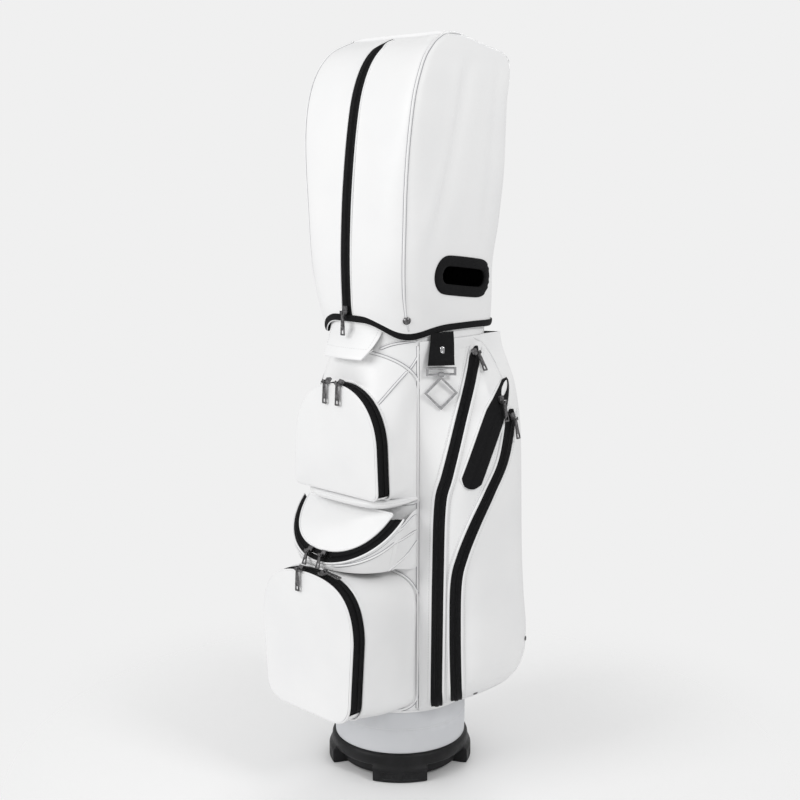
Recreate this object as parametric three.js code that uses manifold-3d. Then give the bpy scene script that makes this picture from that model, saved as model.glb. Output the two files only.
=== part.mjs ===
// Golf staff bag with its rain hood on: moulded base, lofted body, three zipped front pockets,
// two side pockets, lift handles and a towel ring.
// Millimetres, +Z up. The origin is the middle of the underside of the base.
// The front of the bag faces -Y; +X is the side with the two long zips.
import * as THREE from 'three';
import { mergeVertices } from 'three/addons/utils/BufferGeometryUtils.js';
import Module from 'manifold-3d';

const wasm = await Module();
wasm.setup();

// ---- Driving dimensions ---------------------------------------------------------------
const GAP = 0.4;              // clearance between pieces that touch
const WALL = 2.5;             // leather with its foam backing
const TAPE = 1.6;             // zip tape
const ROUND = 40;             // points round a closed section

const BASE_HEIGHT = 52;       // black moulded base
const BASE_RADIUS = 131;
const LUG_HEIGHT = 28;
const LUG_RADIUS = 137;
const LUG_HALF_ANGLE = 23;    // degrees
const BODY_BOTTOM = 134;      // lower hem of the body skin, above the collar
const BODY_TOP = 858;         // upper edge of the body skin
const RIM_TOP = 880;          // top of the padded cuff
const WELL_WALLS = [-35, 55]; // y of the two partitions between the club wells

// Section of the body: a circle at the base that becomes a D with a squared back at the top.
const LOW_SECTION = { z: 120, half: 125, front: 125, back: 125, frontPower: 2, backPower: 2 };
const HIGH_SECTION = { z: 850, half: 120, front: 122, back: 143, frontPower: 2.3, backPower: 4 };

// Front pockets. An outline is symmetric about x = 0: a flat low edge with round corners, sides up to
// a shoulder, and a dome from there to the top. The numbers are x half widths and heights.
const UPPER_DOOR = {
  low: 550, high: 742, lowHalf: 107, corner: 12, shoulder: [103, 640], pull: [99, 700], crown: 60,
};
const UPPER_BACK = {
  low: 531, high: 800, lowHalf: 108, corner: 10, shoulder: [108, 735], pull: [106, 780], crown: 80,
};
const LOWER_DOOR = {
  low: 156, high: 412, lowHalf: 110, corner: 46, shoulder: [118, 310], pull: [116, 388], crown: 78,
};
const LOWER_BACK = {
  low: 140, high: 414, lowHalf: 106, corner: 30, shoulder: [108, 330], pull: [108, 400], crown: 90,
};
const UPPER_FACE = -162;      // y of the plane behind each door
const LOWER_FACE = -233;
const TAPE_WIDTH = 28;
const BAND_OFF = 3.6;         // height of the side pocket's zip tapes above its skin
const DOOR_THICK = 3;

// Middle pocket: a lid on a 45 degree slope, hinged along its upper edge.
const LID_HINGE = { y: -128, z: 521 };
const LID_SLOPE = 45;
const LID = { low: 0, high: 100, lowHalf: 110, corner: 4, shoulder: [109, 8], pull: [103, 62], crown: 66 };
const LID_TAPE = 22;
const LID_DROP = 8;
const CASE_REAR = 5;          // where the case's rear wall stops below the hinge, clear of the body
const SHELF = { z: 418, half: 108, front: -205, back: -128 };

// Side pocket: how far it stands out of the body's side, by height.
const SIDE_BULGE = [
  [136, 1], [148, 34], [164, 66], [186, 92], [210, 107], [240, 113], [280, 112], [340, 104],
  [420, 97], [642, 88], [700, 77], [740, 62], [775, 36], [800, 13], [818, 1],
];
const SIDE = { root: 111, middle: 45, front: 108, rear: 108, rearLow: 86, low: 136, high: 820, closeAt: 62 };
const SIDE_LEFT_SCALE = 0.62;                                   // the left pocket is shallower
const SIDE_POWER = { rear: 3.2, front: 2.6, shoulder: 1.15 };   // roundness of its section's corners

// Hood sections: height, half width, front and back reach, and how square the front and back corners are.
const HOOD_SECTIONS = [
  [838, 125, 129, 150, 2.4, 4.5], [880, 132, 132, 152, 3, 4], [950, 139, 134, 154, 3.7, 3.4],
  [1040, 143, 131, 157, 4.3, 4.4], [1120, 143, 125, 157, 6, 6], [1190, 143, 116, 156, 9, 6.6],
  [1238, 142, 106, 155, 11, 7.5], [1275, 141, 92, 155, 12, 10], [1300, 138, 77, 155, 12, 12],
  [1318, 136, 60, 142, 12, 12], [1330, 133, 43, 98, 10, 9], [1340, 129, 20, 60, 8, 7],
  [1346, 121, 5, 36, 6, 5], [1351, 100, 3, 22, 4, 4],
];
const HOOD_WALL = 1.8;
const BINDING = 12;
const WINDOW = { y: 20, z: 930, half: 50, radius: 16, border: 19 };

// ---- Small tools ----------------------------------------------------------------------
const vec = (x, y, z) => new THREE.Vector3(x, y, z);
const radians = THREE.MathUtils.degToRad;
const mix = THREE.MathUtils.lerp;

function range(count, make) {
  return Array.from({ length: count }, (_, i) => make(i, count));
}

// Height table read with straight lines between its rows; each row is [height, value, ...].
function readTable(table, z, column = 1) {
  const upper = table.findIndex((row) => row[0] >= z);
  if (upper === 0) return table[0][column];
  if (upper < 0) return table.at(-1)[column];
  const [a, b] = [table[upper - 1], table[upper]];
  return mix(a[column], b[column], (z - a[0]) / (b[0] - a[0]));
}

function makeGeometry(points, faces) {
  let volume = 0;
  for (let f = 0; f < faces.length; f += 3) {
    const [a, b, c] = [points[faces[f]], points[faces[f + 1]], points[faces[f + 2]]];
    volume += a.dot(b.clone().cross(c));
  }
  const index = volume < 0 ? faces.slice().reverse() : faces;
  const geometry = new THREE.BufferGeometry().setFromPoints(points);
  geometry.setIndex(index);
  return geometry;
}

// Closed wall between two grids of points, outer[row][i] and inner[row][i]. A ring joins the ends of
// each row; a capped one is also closed over its last row.
function wallBetween(outer, inner, { ring = true, capped = false } = {}) {
  const points = [...outer.flat(), ...inner.flat()];
  const rows = outer.length;
  const count = outer[0].length;
  const half = rows * count;
  const top = half - count;
  const faces = [];
  const quad = (a, b, c, d) => faces.push(a, b, c, a, c, d);
  for (let i = 0; i < (ring ? count : count - 1); i++) {
    const j = (i + 1) % count;
    for (let a = i, b = j; a < top; a += count, b += count) {
      quad(a, b, b + count, a + count);
      quad(half + b, half + a, half + a + count, half + b + count);
    }
    quad(j, i, half + i, half + j);
    if (!capped) quad(top + i, top + j, half + top + j, half + top + i);
  }
  if (!ring) {
    for (let a = 0, b = count - 1; a < top; a += count, b += count) {
      quad(a, a + count, half + a + count, half + a);
      quad(b + count, b, half + b, half + b + count);
    }
  }
  if (capped) {
    const crowns = [outer, inner].map((grid) => {
      const middle = grid.at(-1).reduce((sum, p) => sum.add(p), vec(0, 0, 0)).divideScalar(count);
      return points.push(middle) - 1;
    });
    for (let i = 0; i < count; i++) {
      const j = (i + 1) % count;
      faces.push(top + i, top + j, crowns[0], half + top + j, half + top + i, crowns[1]);
    }
  }
  return makeGeometry(points, faces);
}

function toSolid(geometry) {
  const bare = geometry.clone();
  bare.deleteAttribute('normal');
  bare.deleteAttribute('uv');
  const merged = mergeVertices(bare, 1e-4);
  return new wasm.Manifold(new wasm.Mesh({
    numProp: 3,
    vertProperties: new Float32Array(merged.attributes.position.array),
    triVerts: new Uint32Array(merged.index.array),
  }));
}

function fromSolid(solid) {
  const mesh = solid.getMesh();
  const geometry = new THREE.BufferGeometry();
  geometry.setAttribute('position', new THREE.BufferAttribute(mesh.vertProperties, 3));
  geometry.setIndex(new THREE.BufferAttribute(mesh.triVerts, 1));
  return geometry;
}

const join = (...pieces) => fromSolid(pieces.map(toSolid).reduce((whole, piece) => whole.add(piece)));
const cut = (piece, ...tools) => {
  return fromSolid(tools.map(toSolid).reduce((left, tool) => left.subtract(tool), toSolid(piece)));
};
const common = (piece, other) => fromSolid(toSolid(piece).intersect(toSolid(other)));

function box(low, high) {
  const size = vec(...high).sub(vec(...low));
  const middle = vec(...low).addScaledVector(size, 0.5);
  return new THREE.BoxGeometry(size.x, size.y, size.z).translate(middle.x, middle.y, middle.z);
}

// Cylinder along the x axis.
function barrel(radius, length, sides = 10) {
  return new THREE.CylinderGeometry(radius, radius, length, sides).rotateZ(Math.PI / 2);
}

// Matrix whose x, y and z axes are the given directions; z is made exact and y is rebuilt square to it.
function frameAt(origin, across, outward) {
  const z = outward.clone().normalize();
  const y = z.clone().cross(across).normalize();
  const x = y.clone().cross(z);
  return new THREE.Matrix4().makeBasis(x, y, z).setPosition(origin);
}

const bag = new THREE.Group();

const LOOKS = {
  leather: { color: 0xf4f4f4, roughness: 0.45, metalness: 0 },
  shade: { color: 0xe4e6ea, roughness: 0.5, metalness: 0 },
  tape: { color: 0x101010, roughness: 0.8, metalness: 0 },
  plastic: { color: 0x161616, roughness: 0.5, metalness: 0 },
  lining: { color: 0x1c1c1e, roughness: 0.9, metalness: 0 },
  metal: { color: 0x6e6e72, roughness: 0.3, metalness: 1 },
  chrome: { color: 0xc8c8cc, roughness: 0.2, metalness: 1 },
  rod: { color: 0xb0b2b6, roughness: 0.4, metalness: 0.9 },
};

function addPiece(name, geometry, look, matrix = null) {
  const mesh = new THREE.Mesh(geometry, new THREE.MeshStandardMaterial(LOOKS[look]));
  mesh.name = name;
  if (matrix) mesh.applyMatrix4(matrix);
  bag.add(mesh);
  return mesh;
}

// ---- Body section ---------------------------------------------------------------------
function sectionAt(z) {
  const s = THREE.MathUtils.clamp((z - LOW_SECTION.z) / (HIGH_SECTION.z - LOW_SECTION.z), 0, 1);
  const blend = (key) => mix(LOW_SECTION[key], HIGH_SECTION[key], s);
  return {
    half: blend('half'), front: blend('front'), back: blend('back'),
    frontPower: blend('frontPower'), backPower: blend('backPower'),
  };
}

const bend = (value, power) => Math.sign(value) * Math.abs(value) ** (2 / power);

function ovalPoint(section, angle, inset, z) {
  const c = Math.cos(angle);
  const s = Math.sin(angle);
  const power = s < 0 ? section.frontPower : section.backPower;
  const reach = s < 0 ? section.front : section.back;
  return vec((section.half - inset) * bend(c, power), (reach - inset) * bend(s, power), z);
}

function bodyLoop(z, inset) {
  return range(ROUND, (i, n) => ovalPoint(sectionAt(z), (2 * Math.PI * i) / n, inset, z));
}

// y of the front of the body at (x, z), and x of its side at (y, z).
function bodyFront(x, z) {
  const s = sectionAt(z);
  return -s.front * Math.max(0, 1 - Math.abs(x / s.half) ** s.frontPower) ** (1 / s.frontPower);
}

function bodySide(y, z) {
  const s = sectionAt(z);
  const reach = y < 0 ? s.front : s.back;
  const power = y < 0 ? s.frontPower : s.backPower;
  return s.half * Math.max(0, 1 - Math.abs(y / reach) ** power) ** (1 / power);
}

function bodyTube(low, high, rows, inset, wall) {
  const heights = range(rows, (i) => mix(low, high, i / (rows - 1)));
  return wallBetween(heights.map((z) => bodyLoop(z, inset)), heights.map((z) => bodyLoop(z, inset + wall)));
}

// ---- Base and structure ---------------------------------------------------------------
function baseCup() {
  const profile = [
    [0, 0], [94, 0], [98, 4], [112, 25], [BASE_RADIUS - 2, 28], [BASE_RADIUS, 40],
    [BASE_RADIUS - 1, 48], [126, BASE_HEIGHT], [116, BASE_HEIGHT], [114, 6], [0, 6],
  ];
  const turned = profile.map(([r, z]) => new THREE.Vector2(r, z));
  const cup = new THREE.LatheGeometry(turned, 36).rotateX(Math.PI / 2);
  const lugs = [45, 135, 225, 315].map((angle) => {
    const shape = new THREE.Shape();
    const [from, to] = [radians(angle - LUG_HALF_ANGLE), radians(angle + LUG_HALF_ANGLE)];
    shape.absarc(0, 0, LUG_RADIUS, from, to, false);
    shape.absarc(0, 0, 90, to, from, true);
    return new THREE.ExtrudeGeometry(shape, { depth: LUG_HEIGHT, bevelEnabled: false, curveSegments: 8 });
  });
  return join(cup, ...lugs);
}

function topDivider() {
  const [low, high] = [840, 872];
  const ring = bodyTube(low, high, 2, 6.6, 4);
  const outline = new THREE.Shape(bodyLoop(BODY_TOP, 9).map((p) => new THREE.Vector2(p.x, p.y)));
  const plug = new THREE.ExtrudeGeometry(outline, { depth: high - low, bevelEnabled: false });
  plug.translate(0, 0, low);
  const bars = [
    ...WELL_WALLS.map((y) => box([-130, y - 3, low - 1], [130, y + 3, high + 1])),
    box([-3, -130, low - 1], [3, 150, high + 1]),
  ];
  return join(ring, ...bars.map((bar) => common(bar, plug)));
}

function stayRod(angle) {
  const [low, high] = [BASE_HEIGHT + GAP, 836].map((z) => ovalPoint(sectionAt(z), radians(angle), 8, z));
  const path = new THREE.LineCurve3(low, high);
  const section = new THREE.Shape().absarc(0, 0, 3, 0, 2 * Math.PI, false);
  return new THREE.ExtrudeGeometry(section, { steps: 1, curveSegments: 8, extrudePath: path });
}

addPiece('base_cup', baseCup(), 'plastic');
addPiece('base_collar', bodyTube(BASE_HEIGHT + GAP, BODY_BOTTOM - GAP, 2, 0, 3), 'shade');
addPiece('body_skin', bodyTube(BODY_BOTTOM, BODY_TOP, 8, 0, WALL), 'leather');
addPiece('rim_cuff', bodyTube(BODY_TOP + GAP, RIM_TOP, 2, 0, 6), 'lining');
addPiece('top_divider', topDivider(), 'plastic');
for (const [i, name] of ['front', 'rear'].entries()) {
  const panel = box([-102, WELL_WALLS[i] - 0.8, 60], [102, WELL_WALLS[i] + 0.8, 838]);
  addPiece(`well_partition_${name}`, panel, 'lining');
}
addPiece('stay_rod_front', stayRod(-90), 'rod');
addPiece('stay_rod_right', stayRod(32), 'rod');
addPiece('stay_rod_left', stayRod(148), 'rod');

// ---- Front pockets --------------------------------------------------------------------
// Closed outline of a door as points (x, height), grown outwards by an amount.
function outlinePoints(o, grow, count = ROUND) {
  const [low, high, wide] = [o.low - grow, o.high + grow, o.lowHalf + grow];
  const shoulder = [o.shoulder[0] + grow, o.shoulder[1]];
  const pull = [o.pull[0] + grow, o.pull[1] + grow * 0.6];
  const shape = new THREE.Shape().moveTo(0, low);
  shape.lineTo(wide - o.corner, low);
  shape.quadraticCurveTo(wide, low, wide, low + o.corner);
  shape.lineTo(...shoulder);
  shape.bezierCurveTo(...pull, o.crown, high, 0, high);
  shape.bezierCurveTo(-o.crown, high, -pull[0], pull[1], -shoulder[0], shoulder[1]);
  shape.lineTo(-wide, low + o.corner);
  shape.quadraticCurveTo(-wide, low, o.corner - wide, low);
  shape.lineTo(0, low);
  return shape.getSpacedPoints(count).slice(0, count);
}

const atFace = (points, y) => points.map((p) => vec(p.x, y, p.y));
const onBody = (points, off) => points.map((p) => vec(p.x, bodyFront(p.x, p.y) - off, p.y));
const between = (a, b, s) => a.map((p, i) => p.clone().lerp(b[i], s));

function pocketCase(door, back, face) {
  const rim = face + TAPE_WIDTH + GAP;
  const loops = (grow) => {
    const front = atFace(outlinePoints(door, 3 + grow), rim);
    const rear = onBody(outlinePoints(back, grow), 2.2);
    return [rear, between(rear, front, 0.5), front];
  };
  return wallBetween(loops(0), loops(-WALL));
}

function pocketTape(door, face) {
  const loops = (grow) => [face + TAPE_WIDTH, face].map((y) => atFace(outlinePoints(door, grow), y));
  return wallBetween(loops(2.6), loops(2.6 - TAPE));
}

function doorPanel(door, face) {
  const shape = new THREE.Shape(outlinePoints(door, 0));
  const panel = new THREE.ExtrudeGeometry(shape, { depth: DOOR_THICK, bevelEnabled: false });
  return panel.rotateX(Math.PI / 2).translate(0, face - 1, 0);
}

for (const [name, door, back, face] of [
  ['upper', UPPER_DOOR, UPPER_BACK, UPPER_FACE],
  ['lower', LOWER_DOOR, LOWER_BACK, LOWER_FACE],
]) {
  addPiece(`${name}_pocket_case`, pocketCase(door, back, face), 'leather');
  addPiece(`${name}_pocket_tape`, pocketTape(door, face), 'tape');
  addPiece(`${name}_pocket_door`, doorPanel(door, face), 'leather');
}

// Place of a point of the middle lid: x, distance down the slope, height above it.
const slope = radians(LID_SLOPE);
const lidDown = vec(0, -Math.cos(slope), -Math.sin(slope));
const lidOut = vec(0, -Math.sin(slope), Math.cos(slope));
function lidPoint(x, down, above) {
  return vec(x, LID_HINGE.y, LID_HINGE.z).addScaledVector(lidDown, down).addScaledVector(lidOut, above);
}

// Outline of the lid grown sideways, at a height above its slope; nothing of it lies behind `rear`.
function lidLoop(grow, above, rear) {
  return outlinePoints(LID, grow).map((p) => lidPoint(p.x, Math.max(p.y, rear), above));
}

// The part of a lid loop that its zip follows: everything but the hinged edge.
function lidZipLoop(grow, above) {
  const zipped = outlinePoints(LID, 0).map((p) => p.y > 8);
  return lidLoop(grow, above, 0).filter((_, i) => zipped[i]);
}

function lidPanel() {
  const shape = new THREE.Shape(outlinePoints(LID, 0));
  const panel = new THREE.ExtrudeGeometry(shape, { depth: DOOR_THICK, bevelEnabled: false });
  return panel.applyMatrix4(new THREE.Matrix4().makeBasis(vec(1, 0, 0), lidDown, lidOut.clone().negate()))
    .translate(0, LID_HINGE.y, LID_HINGE.z);
}

// Shelf outline below the lid, where the middle pocket stands on the lower one.
function shelfLoop(inset, z) {
  return outlinePoints(LID, 0).map((p) => {
    const s = Math.max(p.y, 0) / LID.high;
    const side = (p.x / LID.lowHalf) * (SHELF.half - inset);
    return vec(side, mix(SHELF.back - inset, SHELF.front + inset, s), z);
  });
}

const tapeTop = (thick) => [
  lidZipLoop(LID_TAPE, -LID_DROP - thick),
  lidZipLoop(1.2, -DOOR_THICK - GAP - thick),
];
addPiece('middle_pocket_tape', wallBetween(tapeTop(0), tapeTop(TAPE), { ring: false }), 'tape');
const caseLoops = (inset, lower) => [
  shelfLoop(inset, SHELF.z),
  lidLoop(LID_TAPE - 2 - inset, -LID_DROP - TAPE - GAP - lower, CASE_REAR + lower + inset),
];
addPiece('middle_pocket_case', wallBetween(caseLoops(0, 0), caseLoops(WALL, 1)), 'leather');
addPiece('middle_pocket_lid', lidPanel(), 'leather');

// ---- Side pockets ---------------------------------------------------------------------
// Outer face of the right side pocket; turn runs from -90 degrees at the front seam to 90 at the rear.
function sidePoint(turn, z, inset = 0, scale = 1) {
  const bulge = Math.max(readTable(SIDE_BULGE, z) * scale - inset, 0);
  const front = mix(SIDE_POWER.front, SIDE_POWER.shoulder, THREE.MathUtils.smoothstep(z, 540, 700));
  const power = turn < 0 ? front : SIDE_POWER.rear;
  const rear = mix(SIDE.rearLow, SIDE.rear, THREE.MathUtils.smoothstep(z, 130, 270));
  const y = SIDE.middle + ((turn < 0 ? SIDE.front : rear) - inset) * bend(Math.sin(turn), power);
  const x = SIDE.root + bulge * bend(Math.cos(turn), power);
  return vec(Math.max(x, bodySide(y, z) + 1.2 + WALL - inset), y, z);
}

function sidePocket(scale, mirrored, rows) {
  const turns = range(19, (i) => radians(mix(-90, 90, i / 18)));
  const heights = range(rows, (i) => mix(SIDE.low, SIDE.high, i / (rows - 1)));
  const grid = (inset) => heights.map((z) => {
    const row = turns.map((turn) => sidePoint(turn, z, inset, scale));
    const closing = ovalPoint(sectionAt(z), radians(SIDE.closeAt), -1.2 - WALL + inset, z);
    row.push(closing);
    return mirrored ? row.map((p) => p.setX(-p.x)) : row;
  });
  return wallBetween(grid(0), grid(WALL), { ring: false });
}

// Point of the right pocket's face at a height and at a distance along the direction (1, 1), with the
// outward direction there.
function sideAcross(across, z) {
  let [low, high] = [radians(-89.9), radians(40)];
  for (let i = 0; i < 40; i++) {
    const turn = (low + high) / 2;
    const p = sidePoint(turn, z);
    if ((p.x + p.y) * Math.SQRT1_2 < across) low = turn;
    else high = turn;
  }
  const p = sidePoint(low, z);
  const alongTurn = sidePoint(low + 0.05, z).sub(sidePoint(low - 0.05, z));
  const alongHeight = sidePoint(low, z + 8).sub(sidePoint(low, z - 8));
  return { point: p, outward: alongTurn.cross(alongHeight).normalize() };
}

// Band of zip tape on the side pocket along a route of (across, height) points.
function sideBand(route, width, low = BAND_OFF, high = BAND_OFF + TAPE, steps = 24) {
  const curve = new THREE.SplineCurve(route.map(([a, z]) => new THREE.Vector2(a, z)));
  const grid = (off) => range(steps + 1, (i) => {
    const p = curve.getPointAt(i / steps);
    const side = curve.getTangentAt(i / steps).rotateAround(new THREE.Vector2(), Math.PI / 2);
    return [-1, 0, 1].map((s) => {
      const q = p.clone().addScaledVector(side, (s * width) / 2);
      const { point, outward } = sideAcross(q.x, q.y);
      return point.addScaledVector(outward, off);
    });
  });
  return wallBetween(grid(high), grid(low), { ring: false });
}

const ROUTES = {
  long: [[137, 800], [111, 695], [84, 587], [72, 532], [69, 400], [68, 270], [67, 152]],
  curved: [[200, 690], [184, 605], [158, 550], [131, 495], [110, 440], [100, 392], [99, 300], [102, 166]],
  slant: [[181, 716], [152, 642], [124, 570]],
};
const LEFT_ZIP = { y: 40, low: 250, high: 700, width: 22 };

addPiece('right_side_pocket', sidePocket(1, false, 26), 'leather');
addPiece('left_side_pocket', sidePocket(SIDE_LEFT_SCALE, true, 14), 'leather');
for (const [name, route] of Object.entries(ROUTES)) {
  addPiece(`${name}_zip_tape`, sideBand(route, name === 'slant' ? 26 : 22), 'tape');
}

// Straight zip down the middle of the left pocket.
function leftZipPoint(z, off) {
  const p = sidePoint(0, z, -off, SIDE_LEFT_SCALE);
  return vec(-p.x, LEFT_ZIP.y, z);
}

function leftZip() {
  const grid = (off) => range(13, (i) => mix(LEFT_ZIP.low, LEFT_ZIP.high, i / 12)).map((z) => {
    return [-1, 1].map((s) => leftZipPoint(z, off).add(vec(0, (s * LEFT_ZIP.width) / 2, 0)));
  });
  return wallBetween(grid(BAND_OFF + TAPE), grid(BAND_OFF), { ring: false });
}
addPiece('left_zip_tape', leftZip(), 'tape');

// ---- Handles, spine pad and towel hanger ----------------------------------------------
// Leather sling in front of the cuff: its rows give height, half width, and how far its outer and
// inner faces stand off the body's front.
function frontHandle() {
  const rows = [
    [851, 68, 2.6, 1], [836, 66, 3.2, 1.2], [812, 60, 16, 13],
    [791, 49, 28, 26], [797, 50, 17, 19], [804, 52, 5, 7],
  ];
  const grid = (column, lift) => rows.map((row) => range(13, (k) => {
    const x = mix(-row[1], row[1], k / 12);
    const z = row[0] + (row[2] < row[3] || row[0] < 795 ? lift : 0);
    return vec(x, bodyFront(x, row[0]) - row[column], z);
  }));
  return wallBetween(grid(2, 0), grid(3, 3), { ring: false });
}

function rearHandle() {
  const outer = new THREE.Shape();
  outer.moveTo(-60, 147).lineTo(60, 147).lineTo(60, 152).lineTo(46, 156);
  outer.bezierCurveTo(40, 186, -40, 186, -46, 156);
  outer.lineTo(-60, 152).lineTo(-60, 147);
  const hollow = new THREE.Path().moveTo(-36, 153);
  hollow.lineTo(36, 153);
  hollow.bezierCurveTo(32, 173, -32, 173, -36, 153);
  outer.holes.push(hollow);
  const handle = new THREE.ExtrudeGeometry(outer, { depth: 24, bevelEnabled: false, curveSegments: 10 });
  return handle.translate(0, 0, 796);
}

function spinePad() {
  const heights = [430, 610, 780];
  const rows = (y) => heights.map((z) => [vec(-52, y(z), z), vec(52, y(z), z)]);
  const front = (z) => sectionAt(z).back + 1.5;
  return wallBetween(rows(() => 153), rows(front), { ring: false });
}

addPiece('front_lift_handle', frontHandle(), 'leather');
addPiece('rear_grab_handle', rearHandle(), 'lining');
addPiece('spine_pad', spinePad(), 'leather');

// The towel hanger faces half forwards. Its loop hangs off the webbing tab, clear of the side pocket.
const TAB = { across: 72, half: 24, low: 779, high: 822, stud: 809 };
const hangerOut = vec(Math.cos(radians(35)), -Math.sin(radians(35)), 0);
const tabLine = vec(-hangerOut.y, hangerOut.x, 0);
const loopPin = vec(139.5, -37.5, 773);
const ringPin = loopPin.clone().add(vec(0, 0, -11));

function tabPoint(sideways, z, off) {
  const { point, outward } = sideAcross(TAB.across + sideways, z);
  const flat = loopPin.clone().addScaledVector(tabLine, sideways).addScaledVector(hangerOut, off).setZ(z);
  const drop = THREE.MathUtils.smoothstep(TAB.high - z, 0, TAB.high - TAB.low);
  return point.addScaledVector(outward, 3 + off).lerp(flat, drop);
}

function tabGrid(off) {
  return range(6, (r) => range(5, (k) => {
    return tabPoint(mix(-TAB.half, TAB.half, k / 4), mix(TAB.low, TAB.high, r / 5), off);
  }));
}

addPiece('webbing_tab', wallBetween(tabGrid(2), tabGrid(0), { ring: false }), 'tape');

function towelRing() {
  const wire = 1.9;
  const arm = 39;
  const bars = range(4, (i) => {
    const bar = new THREE.BoxGeometry(arm + 2 * wire, 2 * wire, 2 * wire).translate(0, arm / 2, 0);
    return bar.rotateZ(i * Math.PI / 2);
  });
  const diamond = join(...bars).rotateZ(Math.PI / 4).translate(0, arm * Math.SQRT1_2 + 5.5, 0);
  const knuckle = join(barrel(4.4, 9), diamond);
  return cut(knuckle, barrel(2.4, 12));
}

function hangerLoop() {
  const wire = 2;
  const [half, drop] = [25, 11];
  return join(
    barrel(wire, 2 * half),
    barrel(wire, 2 * half).translate(0, drop, 0),
    ...[-1, 1].map((s) => box([s * half - wire, -wire, -wire], [s * half + wire, drop + wire, wire])),
  );
}

const hangDown = (pin) => new THREE.Matrix4()
  .makeBasis(tabLine, vec(0, 0, -1), hangerOut.clone().negate())
  .setPosition(pin);
addPiece('hanger_loop', hangerLoop(), 'chrome', hangDown(loopPin));
addPiece('towel_ring', towelRing(), 'chrome', hangDown(ringPin));
const studDome = new THREE.CylinderGeometry(4, 7, 3.2, 16).rotateX(Math.PI / 2).translate(0, 0, 2.4);
addPiece('tab_stud', studDome, 'chrome', frameAt(tabPoint(0, TAB.stud, 6), tabLine, hangerOut));

// ---- Hood -----------------------------------------------------------------------------
function hoodHem(angle) {
  const turn = THREE.MathUtils.euclideanModulo(angle + 1.5 * Math.PI, 2 * Math.PI);
  const fromFront = Math.abs(turn - Math.PI);
  const corner = Math.exp(-(((fromFront - 0.95) / 0.4) ** 2));
  return 840 - 17 * corner - 6 * THREE.MathUtils.smoothstep(fromFront, 1, 2.2);
}

function hoodPoint(angle, z, off) {
  const section = {
    half: readTable(HOOD_SECTIONS, z, 1) + off,
    front: readTable(HOOD_SECTIONS, z, 2) + off,
    back: readTable(HOOD_SECTIONS, z, 3) + off,
    frontPower: readTable(HOOD_SECTIONS, z, 4),
    backPower: readTable(HOOD_SECTIONS, z, 5),
  };
  return ovalPoint(section, angle, 0, z);
}

function hoodGrid(heights, off) {
  return heights.map((height) => range(ROUND, (i, n) => {
    const angle = (2 * Math.PI * i) / n;
    return hoodPoint(angle, height(angle), off);
  }));
}

const hoodHeights = [
  (angle) => hoodHem(angle) + BINDING,
  ...HOOD_SECTIONS.slice(1).map(([z]) => () => z),
];
const lowered = (grid, drop) => grid.map((row) => row.map((p) => p.add(vec(0, 0, p.z > 1300 ? -drop : 0))));

function slot(half, radius) {
  const shape = new THREE.Shape();
  shape.absarc(half - radius, 0, radius, -Math.PI / 2, Math.PI / 2, false);
  shape.absarc(radius - half, 0, radius, Math.PI / 2, 1.5 * Math.PI, false);
  const prism = new THREE.ExtrudeGeometry(shape, { depth: 120, bevelEnabled: false, curveSegments: 8 });
  return prism.applyMatrix4(new THREE.Matrix4().makeBasis(vec(0, 1, 0), vec(0, 0, 1), vec(1, 0, 0)))
    .translate(70, WINDOW.y, WINDOW.z);
}

const hoodShell = wallBetween(
  hoodGrid(hoodHeights, 0),
  lowered(hoodGrid(hoodHeights, -HOOD_WALL), HOOD_WALL),
  { capped: true },
);
const windowHole = slot(WINDOW.half, WINDOW.radius);
const windowOuter = slot(WINDOW.half + WINDOW.border, WINDOW.radius + WINDOW.border);
const trimHeights = [880, 905, 930, 955, 985].map((z) => () => z);
const trimShell = wallBetween(hoodGrid(trimHeights, 3.4), hoodGrid(trimHeights, 1));
addPiece('hood_shell', cut(hoodShell, windowHole), 'leather');
addPiece('hood_window_trim', cut(common(trimShell, windowOuter), windowHole), 'lining');

const bindingHeights = [hoodHem, (angle) => hoodHem(angle) + BINDING - GAP];
addPiece('hood_binding', wallBetween(hoodGrid(bindingHeights, 1), hoodGrid(bindingHeights, -2.6)), 'tape');

function hoodZip() {
  const levels = [862, ...HOOD_SECTIONS.slice(1, 12).map(([z]) => z)];
  const grid = (off) => levels.map((z) => [-8, 0, 8].map((x) => {
    const y = -readTable(HOOD_SECTIONS, z, 2) - off;
    return vec(x, y, z + Math.max(0, (z - 1230) * 0.006) * off);
  }));
  return wallBetween(grid(2.2), grid(0.6), { ring: false });
}
addPiece('hood_zip_tape', hoodZip(), 'tape');
const snapAt = hoodPoint(radians(-38), 866, 0);
const snapCap = new THREE.CylinderGeometry(5, 7, 3, 16).rotateX(Math.PI / 2).translate(0, 0, 3.9);
addPiece('hood_snap', snapCap, 'metal', frameAt(snapAt, vec(0.7, 0.7, 0), vec(0.7, -0.7, 0)));

// ---- Zip sliders and pullers ----------------------------------------------------------
// A slider's own frame: x across the zip, y along it away from the puller, z out of the tape.
const PIN_HEIGHT = 8.6;
function sliderBody() {
  return join(
    box([-5.5, 0.6, 0], [5.5, 12, 4.6]),
    box([-5.4, -2.6, 3.6], [-3.8, 3.4, 10.6]),
    box([3.8, -2.6, 3.6], [5.4, 3.4, 10.6]),
    barrel(1.3, 9.2).translate(0, 0, PIN_HEIGHT),
  );
}

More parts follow.
